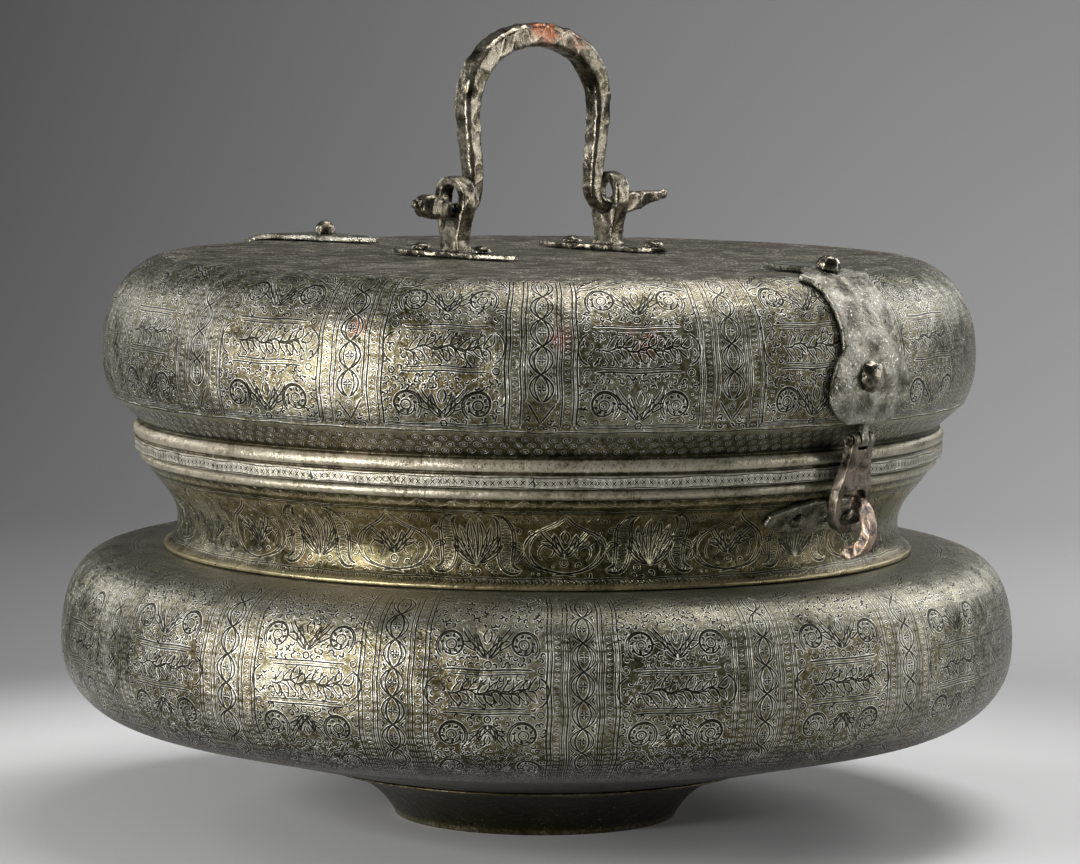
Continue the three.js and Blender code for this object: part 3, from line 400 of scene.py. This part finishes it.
class Pen:
    """Chased strokes and dots on a flat field, u across and v up, in millimetres."""

    def __init__(self, seed=1):
        self.strokes = []
        self.studs = []
        self.rng = random.Random(seed)

    def add(self, points, width=1.45):
        self.strokes.append((np.array(points, float), width))

    def line(self, *points, **look):
        self.add(run(*points, step=1.6), **look)

    def curl(self, u, v, radius, start, stop, end_radius=None, **look):
        """An arc in degrees, which becomes a spiral where it has an end radius."""
        end_radius = radius if end_radius is None else end_radius
        count = max(4, int(abs(stop - start) / 360 * (6 + 8 * max(radius, end_radius) ** 0.6)))
        t = np.linspace(0, 1, count + 1)
        angle = np.radians(start + (stop - start) * t)
        size = radius + (end_radius - radius) * t
        self.add(np.stack([u + size * np.cos(angle), v + size * np.sin(angle)], 1), **look)

    def leaf(self, u, v, length, angle, fat=0.3, sweep=0.25, rib=False, **look):
        """A pointed leaf from its foot: two bowed sides, and a rib where it is asked for."""
        t = np.linspace(0, 1, 7)
        bow = np.sin(np.pi * t)
        turn = math.radians(angle)
        for side in (1, -1, 0) if rib else (1, -1):
            x = length * t
            y = length * (side * fat * 0.5 + sweep) * bow
            self.add(np.stack([u + x * math.cos(turn) - y * math.sin(turn),
                               v + x * math.sin(turn) + y * math.cos(turn)], 1), **look)

    def dot(self, u, v, radius=0.7):
        self.studs.append((u, v, radius))

    def paste(self, other, u=0.0, v=0.0, mirror=False):
        sign = -1 if mirror else 1
        for points, width in other.strokes:
            self.strokes.append((points * (sign, 1) + (u, v), width))
        for a, b, radius in other.studs:
            self.studs.append((sign * a + u, b + v, radius))

    def fill(self, low_u, low_v, high_u, high_v, pitch=2.15, clear=1.3):
        """Small commas and dots wherever the ground is still bare."""
        taken = [points for points, _ in self.strokes]
        taken.append(np.array([(u, v) for u, v, _ in self.studs] or [(1e6, 1e6)]))
        taken = np.concatenate(taken)
        for i in range(int((high_v - low_v) / pitch) + 1):
            row = low_v + i * pitch
            near = taken[np.abs(taken[:, 1] - row) < 3]
            for j in range(int((high_u - low_u) / pitch) + 1):
                u = low_u + (j + 0.5 * (i % 2) + self.rng.uniform(-0.25, 0.25)) * pitch
                v = row + self.rng.uniform(-0.25, 0.25) * pitch
                if u > high_u or v > high_v:
                    continue
                if len(near) and np.min(np.hypot(near[:, 0] - u, near[:, 1] - v)) < clear:
                    continue
                if self.rng.random() < 0.25:
                    self.dot(u, v, 0.8)
                else:
                    start = self.rng.uniform(0, 360)
                    turn = self.rng.choice((-1, 1)) * self.rng.uniform(180, 270)
                    self.curl(u, v, 0.95, start, start + turn, 0.6, width=1.45)


def roundel(pen, u, v, radius, hand):
    """A stem that rolls up round a small ring, with commas along its outer turn."""
    start = 90 - hand * 150
    pen.curl(u, v, radius, start, start + hand * 430, radius * 0.5)
    pen.curl(u, v, radius * 0.84, start + hand * 10, start + hand * 300, radius * 0.62, width=1.38)
    pen.curl(u, v, 1.9, 0, 360, width=1.38)
    pen.dot(u, v, 0.85)
    for k in range(8):
        angle = math.radians(start + hand * (25 + 44 * k))
        size = radius * (0.73 - 0.02 * k)
        pen.leaf(u + size * math.cos(angle), v + size * math.sin(angle), radius * 0.3,
                 math.degrees(angle) + hand * 140, fat=0.3, sweep=0.2 * hand, width=1.23)


def palmette(pen, u, v, size, up=1):
    """Pairs of long leaves that part from one foot, with a bud between them."""
    for side in (1, -1):
        stem = bend((u, v), (u + side * 0.2 * size, v + up * 0.35 * size),
                    (u + side * 0.6 * size, v + up * 0.5 * size), (u + side * 0.82 * size, v + up * size), 9)
        pen.add(stem)
        pen.add(stem + (side * -1.1, up * 1.2), width=1.38)
        pen.leaf(u, v, 0.95 * size, up * (90 - side * 22), fat=0.26, sweep=-0.12 * side * up, rib=True,
                 width=1.38)
        pen.leaf(u + side * 0.3 * size, v + up * 0.28 * size, 0.55 * size, up * (90 - side * 62), fat=0.35,
                 sweep=0.1 * side * up, width=1.38)
    pen.leaf(u, v + up * 0.5 * size, 0.5 * size, 90 * up, fat=0.5, sweep=0.0)
    pen.curl(u, v - up * 1.5, 1.2, 0, 360, width=1.3)


def cartouche(pen, u, v, width, height):
    """A field with a leafy stem between double lines and two brackets."""
    half, rise = width / 2, height / 2
    for side in (1, -1):
        pen.line((u - half, v + side * rise), (u + half, v + side * rise), width=1.3)
        pen.line((u - half + 2, v + side * (rise - 1.7)), (u + half - 2, v + side * (rise - 1.7)), width=1.1)
    for side in (1, -1):
        pen.curl(u + side * half, v, rise * 0.72, 90 - side * 165, 90 - side * 15)
        for way in (1, -1):
            pen.curl(u + side * (half + 2.6), v + way * rise, 1.2, 0, 360, width=1.2)
    t = np.linspace(-1, 1, 30)
    stem = np.stack([u + (half - 2) * t, v + 0.9 * np.sin(3 * np.pi * t)], 1)
    pen.add(stem, width=1.4)
    for k in range(1, 29, 3):
        for way in (1, -1):
            length = pen.rng.uniform(5.4, 7.4)
            lean = pen.rng.uniform(42, 62)
            pen.leaf(*stem[k + (way > 0)], length, way * lean, fat=0.42, sweep=-0.14 * way, width=1.3)
            pen.curl(*(stem[k] + (0.4, way * (rise - 3.6))), 1.0, 90, 90 + way * 260, 0.6, width=1.2)
    pen.fill(u - half + 1, v - rise + 2.8, u + half - 1, v + rise - 2.8)


def chain(pen, foot, top, cell, half=4.3):
    """Two bands that cross and part again, with a quatrefoil in each eye and chevrons at each crossing."""
    cells = max(1, round((top - foot) / cell))
    pitch = (top - foot) / cells
    t = np.linspace(0, 1, 12 * cells + 1)
    swing = np.sin(np.pi * cells * t)
    swing = np.abs(swing) ** 0.75 * np.sign(swing)
    for side in (1, -1):
        for share in (1.0, 0.6):
            pen.add(np.stack([side * half * share * swing, foot + (top - foot) * t], 1), width=1.45)
    for k in range(cells):
        middle = foot + (k + 0.5) * pitch
        for turn in (0, 90, 180, 270):
            pen.leaf(0, middle, 1.9, turn, fat=0.6, sweep=0.0, width=1.1)
        for side in (1, -1):
            for rise in (1.1, 2.0):
                pen.line((side * 4.6, middle + pitch / 2 - rise), (side * 3.0, middle + pitch / 2),
                         (side * 4.6, middle + pitch / 2 + rise), width=1.15)


COLUMN_HALF = 13.2


def column(pen, height, cell, foot, top):
    """Paired lines and rows of rungs on each side of a chain, centred on u = 0."""
    for side in (1, -1):
        for u, width in ((COLUMN_HALF, 1.5), (11.7, 1.3), (7.5, 1.3)):
            pen.line((side * u, 0.5), (side * u, height - 0.3), width=width)
        pen.line((side * 5.8, foot), (side * 5.8, top), width=1.3)
        for k in range(int((height - 1) / 2.0)):
            v = 1.4 + 2.0 * k
            pen.line((side * 8.6, v), (side * 10.6, v + 0.2), width=1.3)
    chain(pen, foot, top, cell)


def lid_column(height):
    pen = Pen(3)
    foot = 11.0
    column(pen, height, 10.9, foot, height - 1.0)
    pen.line((-5.3, foot), (0, foot - 8.0), (5.3, foot), width=1.5)
    pen.curl(0, foot - 2.2, 1.2, 0, 360, width=0.9)
    pen.fill(-6.3, 1.0, 6.3, foot - 1.0)
    return pen


def belly_column(height):
    pen = Pen(4)
    top = height - 9.0
    column(pen, height, 10.4, 6.0, top)
    for side in (1, -1):
        pen.curl(side * 2.4, top + 3.2, 2.2, 90 - side * 100, 90 + side * 230, 1.2, width=1.0)
        for k in range(3):
            pen.line((side * (1.0 + 1.6 * k), top + 4.8), (side * (2.2 + 1.6 * k), top + 8.2), width=1.0)
        pen.line((side * 5.4, 6.0), (0, 1.2), width=1.0)
        pen.line((side * 4.4, 6.0), (0, 2.6), width=1.0)
    return pen


def arch(pen, half, top, drop):
    """A wavy double line that rises to the middle of a panel's top, with sprays in both corners."""
    for side in (1, -1):
        sweep = bend((side * half, top - drop), (side * (half - 5), top - drop + 2),
                     (side * half * 0.35, top - drop * 0.4), (0, top - 1.6), 16)
        sweep[1:-1, 1] += 0.45 * np.sin(np.linspace(0, 5 * np.pi, 15))
        pen.add(sweep, width=1.54)
        pen.add(sweep + (0, 1.5), width=1.33)
        for k in range(5):
            foot = (side * (half - 1.0 - k * 2.2), top - drop + 3.0 + k * 1.5)
            pen.leaf(*foot, 4.2 - 0.4 * k, 90 + side * 30, fat=0.28, sweep=0.1 * side, width=1.33)


def lid_panel(half, height, seed):
    pen = Pen(seed)
    arch(pen, half, height, 9.5)
    palmette(pen, 0, height - 20.5, 12)
    palmette(pen, 0, 3.6, 12)
    for side in (1, -1):
        roundel(pen, side * (half - 9.6), height - 14.0, 6.8, side)
        roundel(pen, side * (half - 9.6), 9.6, 6.4, -side)
    cartouche(pen, 0, height * 0.475, 34, 17)
    for v in (0.9, 2.1):
        pen.line((-half, v), (half, v), width=1.0)
    pen.fill(-half + 1.0, 3.4, half - 1.0, height - 1.0)
    return pen


def belly_panel(half, height, seed):
    pen = Pen(seed)
    arch(pen, half, height, 13)
    middle = height * 0.5 + 6.5
    for side in (1, -1):
        pen.curl(side * 4.4, height - 8.0, 2.6, 90 - side * 40, 90 + side * 250, 1.3, width=1.0)
        roundel(pen, side * (half - 8.4), middle + 17.0, 6.2, side)
        roundel(pen, side * (half - 8.6), middle - 16.5, 6.4, -side)
        roundel(pen, side * (half - 7.4), middle - 33.0, 5.6, side)
    palmette(pen, 0, middle + 11.5, 12)
    cartouche(pen, 0, middle, 34, 16)
    palmette(pen, 0, middle - 11.5, 9, up=-1)
    palmette(pen, 0, middle - 38, 10)
    pen.fill(-half + 1.0, 2.0, half - 1.0, height - 1.2)
    return pen


def ladder_leaf(pen, spine, fat):
    """A swelling leaf round a spine, with a double outline and rungs across it."""
    step = np.gradient(spine, axis=0)
    step /= np.linalg.norm(step, axis=1)[:, None]
    across = np.stack([-step[:, 1], step[:, 0]], 1)
    swell = (fat * np.sin(np.pi * np.linspace(0, 1, len(spine))) ** 0.7)[:, None] * across
    for share in (1.0, 0.7, -0.7, -1.0):
        pen.add(spine + share * swell, width=1.23)
    for k in range(2, len(spine) - 2):
        pen.line(spine[k] - 0.55 * swell[k], spine[k] + 0.55 * swell[k], width=1.04)


def medallion(pen, half, height):
    """A pointed shape whose outlines cross at its foot and meet in a tip, round a palmette."""
    for share in (1.0, 0.86):
        for side in (1, -1):
            out = side * half * share
            pen.add(bend((side * -4.5, 0.03 * height), (0, 0.1 * height), (0.9 * out, 0.02 * height),
                         (out, 0.36 * height), 10), width=1.3)
            pen.add(bend((out, 0.36 * height), (out, 0.68 * height), (0.22 * out, 0.66 * height),
                         (0, 0.99 * height * (0.5 + 0.5 * share)), 10), width=1.3)
    for side in (1, -1):
        hip = (side * half, 0.36 * height)
        pen.leaf(*hip, 0.2 * height, 90 - side * 70, fat=0.4, sweep=0.25 * side, width=1.23)
        pen.leaf(*hip, 0.17 * height, 90 - side * 150, fat=0.4, sweep=-0.2 * side, width=1.23)
        pen.curl(side * 0.42 * half, 0.34 * height, 0.13 * height, 90 - side * 150, 90 + side * 160,
                 0.07 * height, width=1.23)
    palmette(pen, 0, 0.26 * height, 0.42 * height)


def neck_repeat(width, height):
    """One repeat of the neck's band: a medallion, two hatched leaves and fans of feathers at its ends."""
    pen = Pen(21)
    medallion(pen, 15.5, height)
    edge = width / 2
    side_leaves = Pen()
    ladder_leaf(side_leaves, bend((15.5, 0.1 * height), (29, 0.02 * height), (15.5, 0.86 * height),
                                  (26.5, 0.94 * height), 22), 3.4)
    side_leaves.curl(17.6, 0.66 * height, 1.9, -30, 260, 1.1, width=1.23)
    side_leaves.curl(14.2, 0.84 * height, 1.6, -60, 250, 0.9, width=1.23)
    for k in range(4):
        side_leaves.leaf(edge, 0.16 * height, (0.74 - 0.09 * k) * height, 94 + 15 * k, fat=0.16,
                         sweep=0.06, rib=True, width=1.23)
    for u, v in ((12.4, 0.62), (10.6, 0.9), (19.6, 0.46), (28.0, 0.14), (30.4, 0.93), (23.2, 0.93)):
        side_leaves.curl(u, v * height, 1.0, 0, 360, width=1.1)
    pen.paste(side_leaves)
    pen.paste(side_leaves, mirror=True)
    pen.fill(-edge + 1.0, 1.4, edge - 1.0, height - 1.2, pitch=3.2, clear=1.9)
    return pen


def engrave(name, body, skin, fields, material=skin_metal, seed=5):
    """Lays the strokes of each field on the skin.

    A field is (pen, angle of u = 0, distance along the skin of v = 0, radius that u is measured at).
    """
    rng = random.Random(seed)
    along, angle, rise, groove, faces = [], [], [], [], []
    count = 0
    for pen, turn, start, radius in fields:
        phase, drift = rng.uniform(0, TAU), rng.uniform(0.1, 0.3)
        for points, width in pen.strokes:
            step = np.gradient(points, axis=0)
            step /= np.maximum(np.linalg.norm(step, axis=1), 1e-9)[:, None]
            across = np.stack([-step[:, 1], step[:, 0]], 1)
            closed = len(points) > 4 and np.linalg.norm(points[0] - points[-1]) < 0.05
            share = np.ones(len(points))
            if not closed:
                share[[0, -1]] = 0.4
            width = width * rng.uniform(0.9, 1.15)
            wander = np.stack([np.sin(points[:, 1] * 0.31 + phase), np.sin(points[:, 0] * 0.27 + phase)], 1)
            size = len(points)
            for offset in (-0.5, 0.0, 0.5):
                place = points + drift * wander + across * (offset * width * share)[:, None]
                angle.append(turn + place[:, 0] / radius)
                along.append(start + place[:, 1])
                rise.append(np.where(share < 1, 0.01, 0.05) if offset == 0 else np.full(size, -0.02))
                groove.append(share if offset == 0 else np.zeros(size))
            right_edge, middle, left_edge = count, count + size, count + 2 * size
            for i in range(size - 1):
                faces.append((right_edge + i, right_edge + i + 1, middle + i + 1, middle + i))
                faces.append((middle + i, middle + i + 1, left_edge + i + 1, left_edge + i))
            count += 3 * size
        for u, v, size in pen.studs:
            ring = np.radians(np.arange(6) * 60 + 15)
            angle += [turn + (u + size * np.cos(ring)) / radius, np.array([turn + u / radius])]
            along += [start + v + size * np.sin(ring), np.array([start + v])]
            rise += [np.full(6, -0.02), np.array([0.05])]
            groove += [np.zeros(6), np.ones(1)]
            for k in range(6):
                faces.append((count + k, count + (k + 1) % 6, count + 6))
            count += 7
    along = np.concatenate(along)
    places = skin.at(along, np.concatenate(angle), np.concatenate(rise))
    print(name, len(faces))
    return new_piece(name, places, faces, [material], body, slot="tinned_copper",
                     groove=np.concatenate(groove), wear=np.interp(along, skin.length, skin.wear))


def engrave_parts(name, body, skin, fields, parts):
    share = math.ceil(len(fields) / parts)
    for part in range(parts):
        engrave(f"{name}_{part + 1}", body, skin, fields[part * share:(part + 1) * share], seed=5 + part)


LID_REPEATS, BELLY_REPEATS, NECK_REPEATS = 15, 17, 14
LID_RADIUS, BELLY_RADIUS = 173.4, 190
PANEL_DRAWINGS = 5

lid_low = lid_skin.where(height=169.6)
lid_high = lid_skin.where(radius=150.5, near=lid_skin.where(height=215))
lid_height = lid_high - lid_low
lid_pitch = TAU / LID_REPEATS
lid_half = lid_pitch * LID_RADIUS / 2 - COLUMN_HALF
lid_panels = [lid_panel(lid_half, lid_height, 20 + k) for k in range(PANEL_DRAWINGS)]
fields = []
drawing = lid_column(lid_height)
for k in range(LID_REPEATS):
    centre = PHOTO_SIDE + math.radians(0.3) + k * lid_pitch
    fields.append((drawing, centre, lid_low, LID_RADIUS))
    fields.append((lid_panels[k % PANEL_DRAWINGS], centre + lid_pitch / 2, lid_low, LID_RADIUS))
engrave_parts("lid_engraving", "lid", lid_skin, fields, 2)

belly_low = belly_skin.where(radius=152, near=60)
belly_high = belly_skin.where(radius=161.5, near=belly_skin.length[-1])
belly_height = belly_high - belly_low
belly_pitch = TAU / BELLY_REPEATS
belly_half = belly_pitch * BELLY_RADIUS / 2 - COLUMN_HALF
belly_panels = [belly_panel(belly_half, belly_height, 60 + k) for k in range(PANEL_DRAWINGS)]
fields = []
drawing = belly_column(belly_height)
for k in range(BELLY_REPEATS):
    centre = PHOTO_SIDE + math.radians(5.2) + k * belly_pitch
    fields.append((drawing, centre, belly_low, BELLY_RADIUS))
    fields.append((belly_panels[k % PANEL_DRAWINGS], centre + belly_pitch / 2, belly_low, BELLY_RADIUS))
engrave_parts("belly_engraving", "bowl", belly_skin, fields, 4)


def hoop(pen, v, length, **look):
    pen.add(np.stack([np.linspace(0, length, 361), np.full(361, v)], 1), **look)


# Borders of the belly
radius = 155
band = Pen(8)
band.fill(0, 0, TAU * radius / BELLY_REPEATS, 9, pitch=2.7)
fields = [(band, k * belly_pitch, belly_high + 3.4, radius) for k in range(BELLY_REPEATS)]
engrave("belly_shoulder_commas", "bowl", belly_skin, fields)
radius = 160
band = Pen(9)
hoop(band, 0.0, TAU * radius, width=1.3)
hoop(band, 1.6, TAU * radius, width=1.0)
engrave("belly_upper_border", "bowl", belly_skin, [(band, 0, belly_high + 0.4, radius)])
radius = 150
band = Pen(10)
girth = TAU * radius
hoop(band, 0.0, girth, width=1.1)
hoop(band, 3.4, girth, width=1.1)
beads = int(girth / 2.9)
for k in range(beads):
    band.dot(k * girth / beads, 1.7, 1.1)
engrave("belly_lower_border", "bowl", belly_skin, [(band, 0, belly_low - 4.2, radius)])

# The neck
neck_low = neck_skin.where(height=112.6, near=6)
neck_high = neck_skin.where(height=137.4, near=30)
neck_height = neck_high - neck_low
radius = 146
drawing = neck_repeat(TAU * radius / NECK_REPEATS, neck_height)
fields = [(drawing, PHOTO_SIDE + math.radians(4) + k * TAU / NECK_REPEATS, neck_low, radius)
          for k in range(NECK_REPEATS)]
engrave("neck_engraving", "bowl", neck_skin, fields, neck_metal)
band = Pen(11)
girth = TAU * radius
hoop(band, -0.6, girth, width=1.1)
hoop(band, neck_height + 0.5, girth, width=1.1)
chevrons = int(girth / 2.3)
for k in range(chevrons):
    u = k * girth / chevrons
    band.line((u, -3.6), (u + 1.5, -2.2), (u, -0.9), width=1.0)
engrave("neck_borders", "bowl", neck_skin, [(band, 0, neck_low, radius)], neck_metal)
radius = 155
waves = 74
bay = TAU * radius / waves
band = Pen(12)
for k in range(waves):
    u = k * bay
    band.add(bend((u, 0.9), (u + 0.3 * bay, 3.6), (u + 0.2 * bay, 3.2), (u + 0.5 * bay, 2.0), 6),
             width=0.8)
    band.add(bend((u + 0.5 * bay, 2.0), (u + 0.8 * bay, 0.2), (u + 0.7 * bay, 0.4), (u + bay, 0.9), 6),
             width=0.8)
    band.curl(u + 0.3 * bay, 1.3, 0.8, 60, 330, 0.35, width=0.75)
    band.curl(u + 0.8 * bay, 2.6, 0.8, 240, 510, 0.35, width=0.75)
low = neck_skin.where(height=139.2, near=34)
engrave("rim_engraving", "bowl", neck_skin, [(band, 0, low, radius)], neck_metal)

# The lid's lower mouldings
radius = 161
girth = TAU * radius
band = Pen(13)
hoop(band, 0.1, girth, width=0.9)
hoop(band, 4.0, girth, width=0.9)
crosses = 361
bay = girth / crosses
for k in range(crosses):
    u = k * girth / crosses
    band.line((u, 0.5), (u + bay, 3.6), width=1.0)
    band.line((u, 3.6), (u + bay, 0.5), width=1.0)
for degrees in (-31.5, -0.5):
    crack = (PHOTO_SIDE + math.radians(degrees)) % TAU * radius
    band.line((crack, 0.0), (crack + 0.5, 1.6), (crack - 0.2, 2.8), (crack + 0.2, 4.2), width=2.2)
engrave("lid_hatched_band", "lid", lid_skin, [(band, 0, lid_skin.where(height=147.3), radius)], ring_metal)
band = Pen(14)
low = lid_skin.where(height=153.4, near=9)
strands = 300
for k in range(strands):
    u = k * girth / strands
    if math.cos(u / radius - PHOTO_SIDE - math.radians(85)) > -0.1:
        band.add(bend((u, 0.4), (u + 0.3, 1.8), (u + 1.2, 3.2), (u + 2.2, 4.6), 3), width=1.0)
engrave("lid_roped_moulding", "lid", lid_skin, [(band, 0, low, radius)], ring_metal)
radius = 164
rings = 206
band = Pen(15)
low = lid_skin.where(height=159.4, near=20)
for row, v in enumerate((2.1, 6.0, 9.6)):
    for k in range(rings):
        u = (k + 0.5 * row) * TAU * radius / rings
        band.curl(u, v, 1.05, 0, 360, width=1.2)
        band.dot(u, v, 0.5)
engrave("lid_cove_rings", "lid", lid_skin, [(band, 0, low, radius)])
radius = 170
band = Pen(16)
hoop(band, 0.0, TAU * radius, width=1.3)
engrave("lid_lower_border", "lid", lid_skin, [(band, 0, lid_low - 1.0, radius)])
radius = 152
band = Pen(17)
hoop(band, 0.0, TAU * radius, width=1.2)
hoop(band, 1.5, TAU * radius, width=1.0)
engrave("lid_upper_border", "lid", lid_skin, [(band, 0, lid_high + 0.3, radius)])


# Forged pieces

def forged(name, node, material, body, voxel=0.55, dents=0.25, dent_scale=140, edge=3, seed=0.0):
    """A CAD solid with its edges rounded off and hammered flats all over it, lighter along their edges: worn
    metal, and partly a painted highlight.
    """
    mesh = nodes[node].data.copy()
    mesh.name = name
    work = bmesh.new()
    work.from_mesh(mesh)
    bmesh.ops.remove_doubles(work, verts=work.verts, dist=1e-6)
    work.to_mesh(mesh)
    work.free()
    piece = bpy.data.objects.new(name, mesh)
    bpy.context.scene.collection.objects.link(piece)
    remesh = piece.modifiers.new("remesh", "REMESH")
    remesh.mode = "VOXEL"
    remesh.voxel_size = voxel * MM
    smooth = piece.modifiers.new("smooth", "SMOOTH")
    smooth.factor = 0.5
    smooth.iterations = edge
    bpy.context.view_layer.update()
    shaped = bpy.data.meshes.new_from_object(piece.evaluated_get(bpy.context.evaluated_depsgraph_get()))
    piece.modifiers.clear()
    piece.data = shaped
    shaped.materials.clear()
    shaped.materials.append(material)
    count = len(shaped.vertices)
    place = np.zeros(count * 3)
    facing = np.zeros(count * 3)
    shaped.vertices.foreach_get("co", place)
    shaped.vertices.foreach_get("normal", facing)
    place, facing = place.reshape(-1, 3), facing.reshape(-1, 3)
    shift = Vector((seed, 0, 0))
    cells = np.array([noise.voronoi(Vector(p) * dent_scale + shift)[0][:2] for p in place])
    flat = np.clip((cells[:, 1] - cells[:, 0]) * 1.8, 0, 1)
    place = place - facing * (flat * dents * MM)[:, None]
    shaped.vertices.foreach_set("co", place.reshape(-1))
    # Lighter along the flats' edges, darker in their middles: worn metal on the arrises, and partly a
    # painted highlight there.
    shaped.attributes.new("wear", "FLOAT", "POINT").data.foreach_set(
        "value", (0.75 - 1.1 * flat).astype(np.float32))
    shaped.polygons.foreach_set("use_smooth", [True] * len(shaped.polygons))
    shaped.update()
    print(name, len(shaped.polygons))
    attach(piece, body)
    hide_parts(node)
    return piece


forged("bail", "bail_handle", forged_metal, "bail", voxel=0.55, dents=0.6, dent_scale=115)
forged("clasp_leaf", "clasp_strap", strap_metal, "lid", dents=0.14, dent_scale=90)
forged("hinge_leaf", "hinge_strap", strap_metal, "lid", dents=0.14, dent_scale=90, seed=3)
forged("clasp_neck_plate", "clasp_plate", strap_metal, "bowl", voxel=0.5, dents=0.18,
       dent_scale=120)
forged("hinge_neck_plate", "hinge_plate", strap_metal, "bowl", voxel=0.5, dents=0.18,
       dent_scale=120)
forged("hasp_bar", "hasp", hasp_metal, "hasp_bar", voxel=0.4, dents=0.25, dent_scale=130)
forged("hook", "latch_ring", hook_metal, "ring", voxel=0.33, dents=0.2, dent_scale=200,
       edge=2)
for side, seed in (("left", 5.0), ("right", 9.0)):
    forged(f"lug_{side}", f"handle_lug_{side}", forged_metal, "lid", voxel=0.5, dents=0.35,
           dent_scale=150, seed=seed)
for index, node in enumerate(sorted(n for n in nodes if "rivet" in n or n.endswith("_pin"))):
    forged(f"{node}_head", node, forged_metal, nodes[node]["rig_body"], voxel=0.4, dents=0.2,
           dent_scale=260, edge=2, seed=index * 1.7)


# Floor, lamps and camera

look = Vector((math.sin(PHOTO_SIDE), -math.cos(PHOTO_SIDE), 0))
right = Vector((math.cos(PHOTO_SIDE), math.sin(PHOTO_SIDE), 0))
SHADED_GREY_LEFT, LIT_GREY_RIGHT, PAINTED_POOL_PALE = (0.09, 0.09, 0.09), (0.48, 0.48, 0.48), (0.58, 0.58, 0.58)
GREY_REACH = 0.6
POOL_INNER, POOL_OUTER = 0.23, 0.46
SWEEP_RADIUS, SWEEP_START, SWEEP_TOP, SWEEP_HALF = 1.2, 1.0, 4.5, 6.0
LAMPS_AIM = Vector((0, 0, 0.13))
ROOM_GREY = (0.065, 0.065, 0.065, 1)
PHOTO_WIDTH = 1080
CAMERA_DISTANCE, CAMERA_HEIGHT, CAMERA_AIM, CAMERA_ROLL = 1.88, 0.331, 0.153, math.radians(0.5)


def studio_grey_painted_light():
    """Painted light: grey that grows lighter to the camera's right, with a painted pool of light on the
    floor round the bowl.
    """
    material = bpy.data.materials.new("studio_grey_painted_light")
    material.use_nodes = True
    tree = material.node_tree
    tree.nodes.clear()
    out = add_node(tree, "ShaderNodeOutputMaterial")
    place = add_node(tree, "ShaderNodeTexCoord").outputs["Object"]
    # Painted light falloff: darker to the left, lighter to the right.
    across = add_node(tree, "ShaderNodeVectorMath", {0: place, 1: right}, operation="DOT_PRODUCT")
    across = ramp(tree, across.outputs["Value"], -GREY_REACH, GREY_REACH)
    colour = mix_colour(tree, across, SHADED_GREY_LEFT, LIT_GREY_RIGHT)
    # Painted pool of light: a paler floor colour round the bowl.
    reach = add_node(tree, "ShaderNodeVectorMath", {0: place}, operation="LENGTH").outputs["Value"]
    near = add_node(tree, "ShaderNodeMapRange", {
        "Value": reach, "From Min": POOL_OUTER, "From Max": POOL_INNER}, interpolation_type="SMOOTHSTEP")
    colour = mix_colour(tree, near.outputs[0], colour, PAINTED_POOL_PALE)
    shader = add_node(tree, "ShaderNodeBsdfDiffuse", {"Color": colour})
    tree.links.new(shader.outputs[0], out.inputs[0])
    return material


def floor_sweep():
    """A floor that curves up into a wall behind the bowl."""
    profile = [(-SWEEP_HALF, 0.0)]
    profile += [(SWEEP_START + SWEEP_RADIUS * math.sin(turn), SWEEP_RADIUS * (1 - math.cos(turn)))
                for turn in np.linspace(0, math.pi / 2, 33)]
    profile.append((profile[-1][0], SWEEP_TOP))
    corners = [-look * away + right * side + Vector((0, 0, height))
               for away, height in profile for side in (-SWEEP_HALF, SWEEP_HALF)]
    faces = [(2 * i, 2 * i + 1, 2 * i + 3, 2 * i + 2) for i in range(len(profile) - 1)]
    mesh = bpy.data.meshes.new("floor")
    mesh.from_pydata(corners, [], faces)
    mesh.materials.append(studio_grey_painted_light())
    mesh.polygons.foreach_set("use_smooth", [True] * len(faces))
    piece = bpy.data.objects.new("floor", mesh)
    bpy.context.scene.collection.objects.link(piece)


floor_sweep()


def softbox(name, place, width, height, power):
    lamp = bpy.data.lights.new(name, "AREA")
    lamp.shape = "RECTANGLE"
    lamp.size = width
    lamp.size_y = height
    lamp.energy = power
    piece = bpy.data.objects.new(name, lamp)
    bpy.context.scene.collection.objects.link(piece)
    piece.location = place
    piece.rotation_euler = (LAMPS_AIM - place).to_track_quat("-Z", "Y").to_euler()


def around(degrees, distance, height):
    """A place seen from the bowl, degrees to the camera's right."""
    turn = math.radians(degrees)
    return look * (distance * math.cos(turn)) + right * (distance * math.sin(turn)) + Vector((0, 0, height))


softbox("key", around(-53, 1.5, 0.36), 0.5, 0.68, 30)
softbox("right_strip", around(86, 1.5, 0.4), 0.25, 0.7, 6)
softbox("right_rim", around(128, 1.3, 0.78), 0.4, 0.5, 6)
softbox("left_rim", around(-118, 1.3, 0.62), 0.35, 0.6, 4.5)
softbox("top", around(115, 0.45, 1.6), 0.8, 0.8, 20)

world = bpy.data.worlds.new("studio")
bpy.context.scene.world = world
world.use_nodes = True
world.node_tree.nodes["Background"].inputs[0].default_value = ROOM_GREY

lens = bpy.data.cameras.new("camera")
lens.sensor_width = 36
lens.lens = 157.6
lens.clip_start = 0.1
lens.clip_end = 30
lens.shift_x = 1.5 / PHOTO_WIDTH
camera = bpy.data.objects.new("camera", lens)
bpy.context.scene.collection.objects.link(camera)
camera.location = look * CAMERA_DISTANCE + Vector((0, 0, CAMERA_HEIGHT))
aimed = (Vector((0, 0, CAMERA_AIM)) - camera.location).to_track_quat("-Z", "Y").to_matrix().to_4x4()
camera.rotation_euler = (aimed @ Matrix.Rotation(CAMERA_ROLL, 4, "Z")).to_euler()
bpy.context.scene.camera = camera
bpy.context.scene.view_settings.view_transform = "Standard"
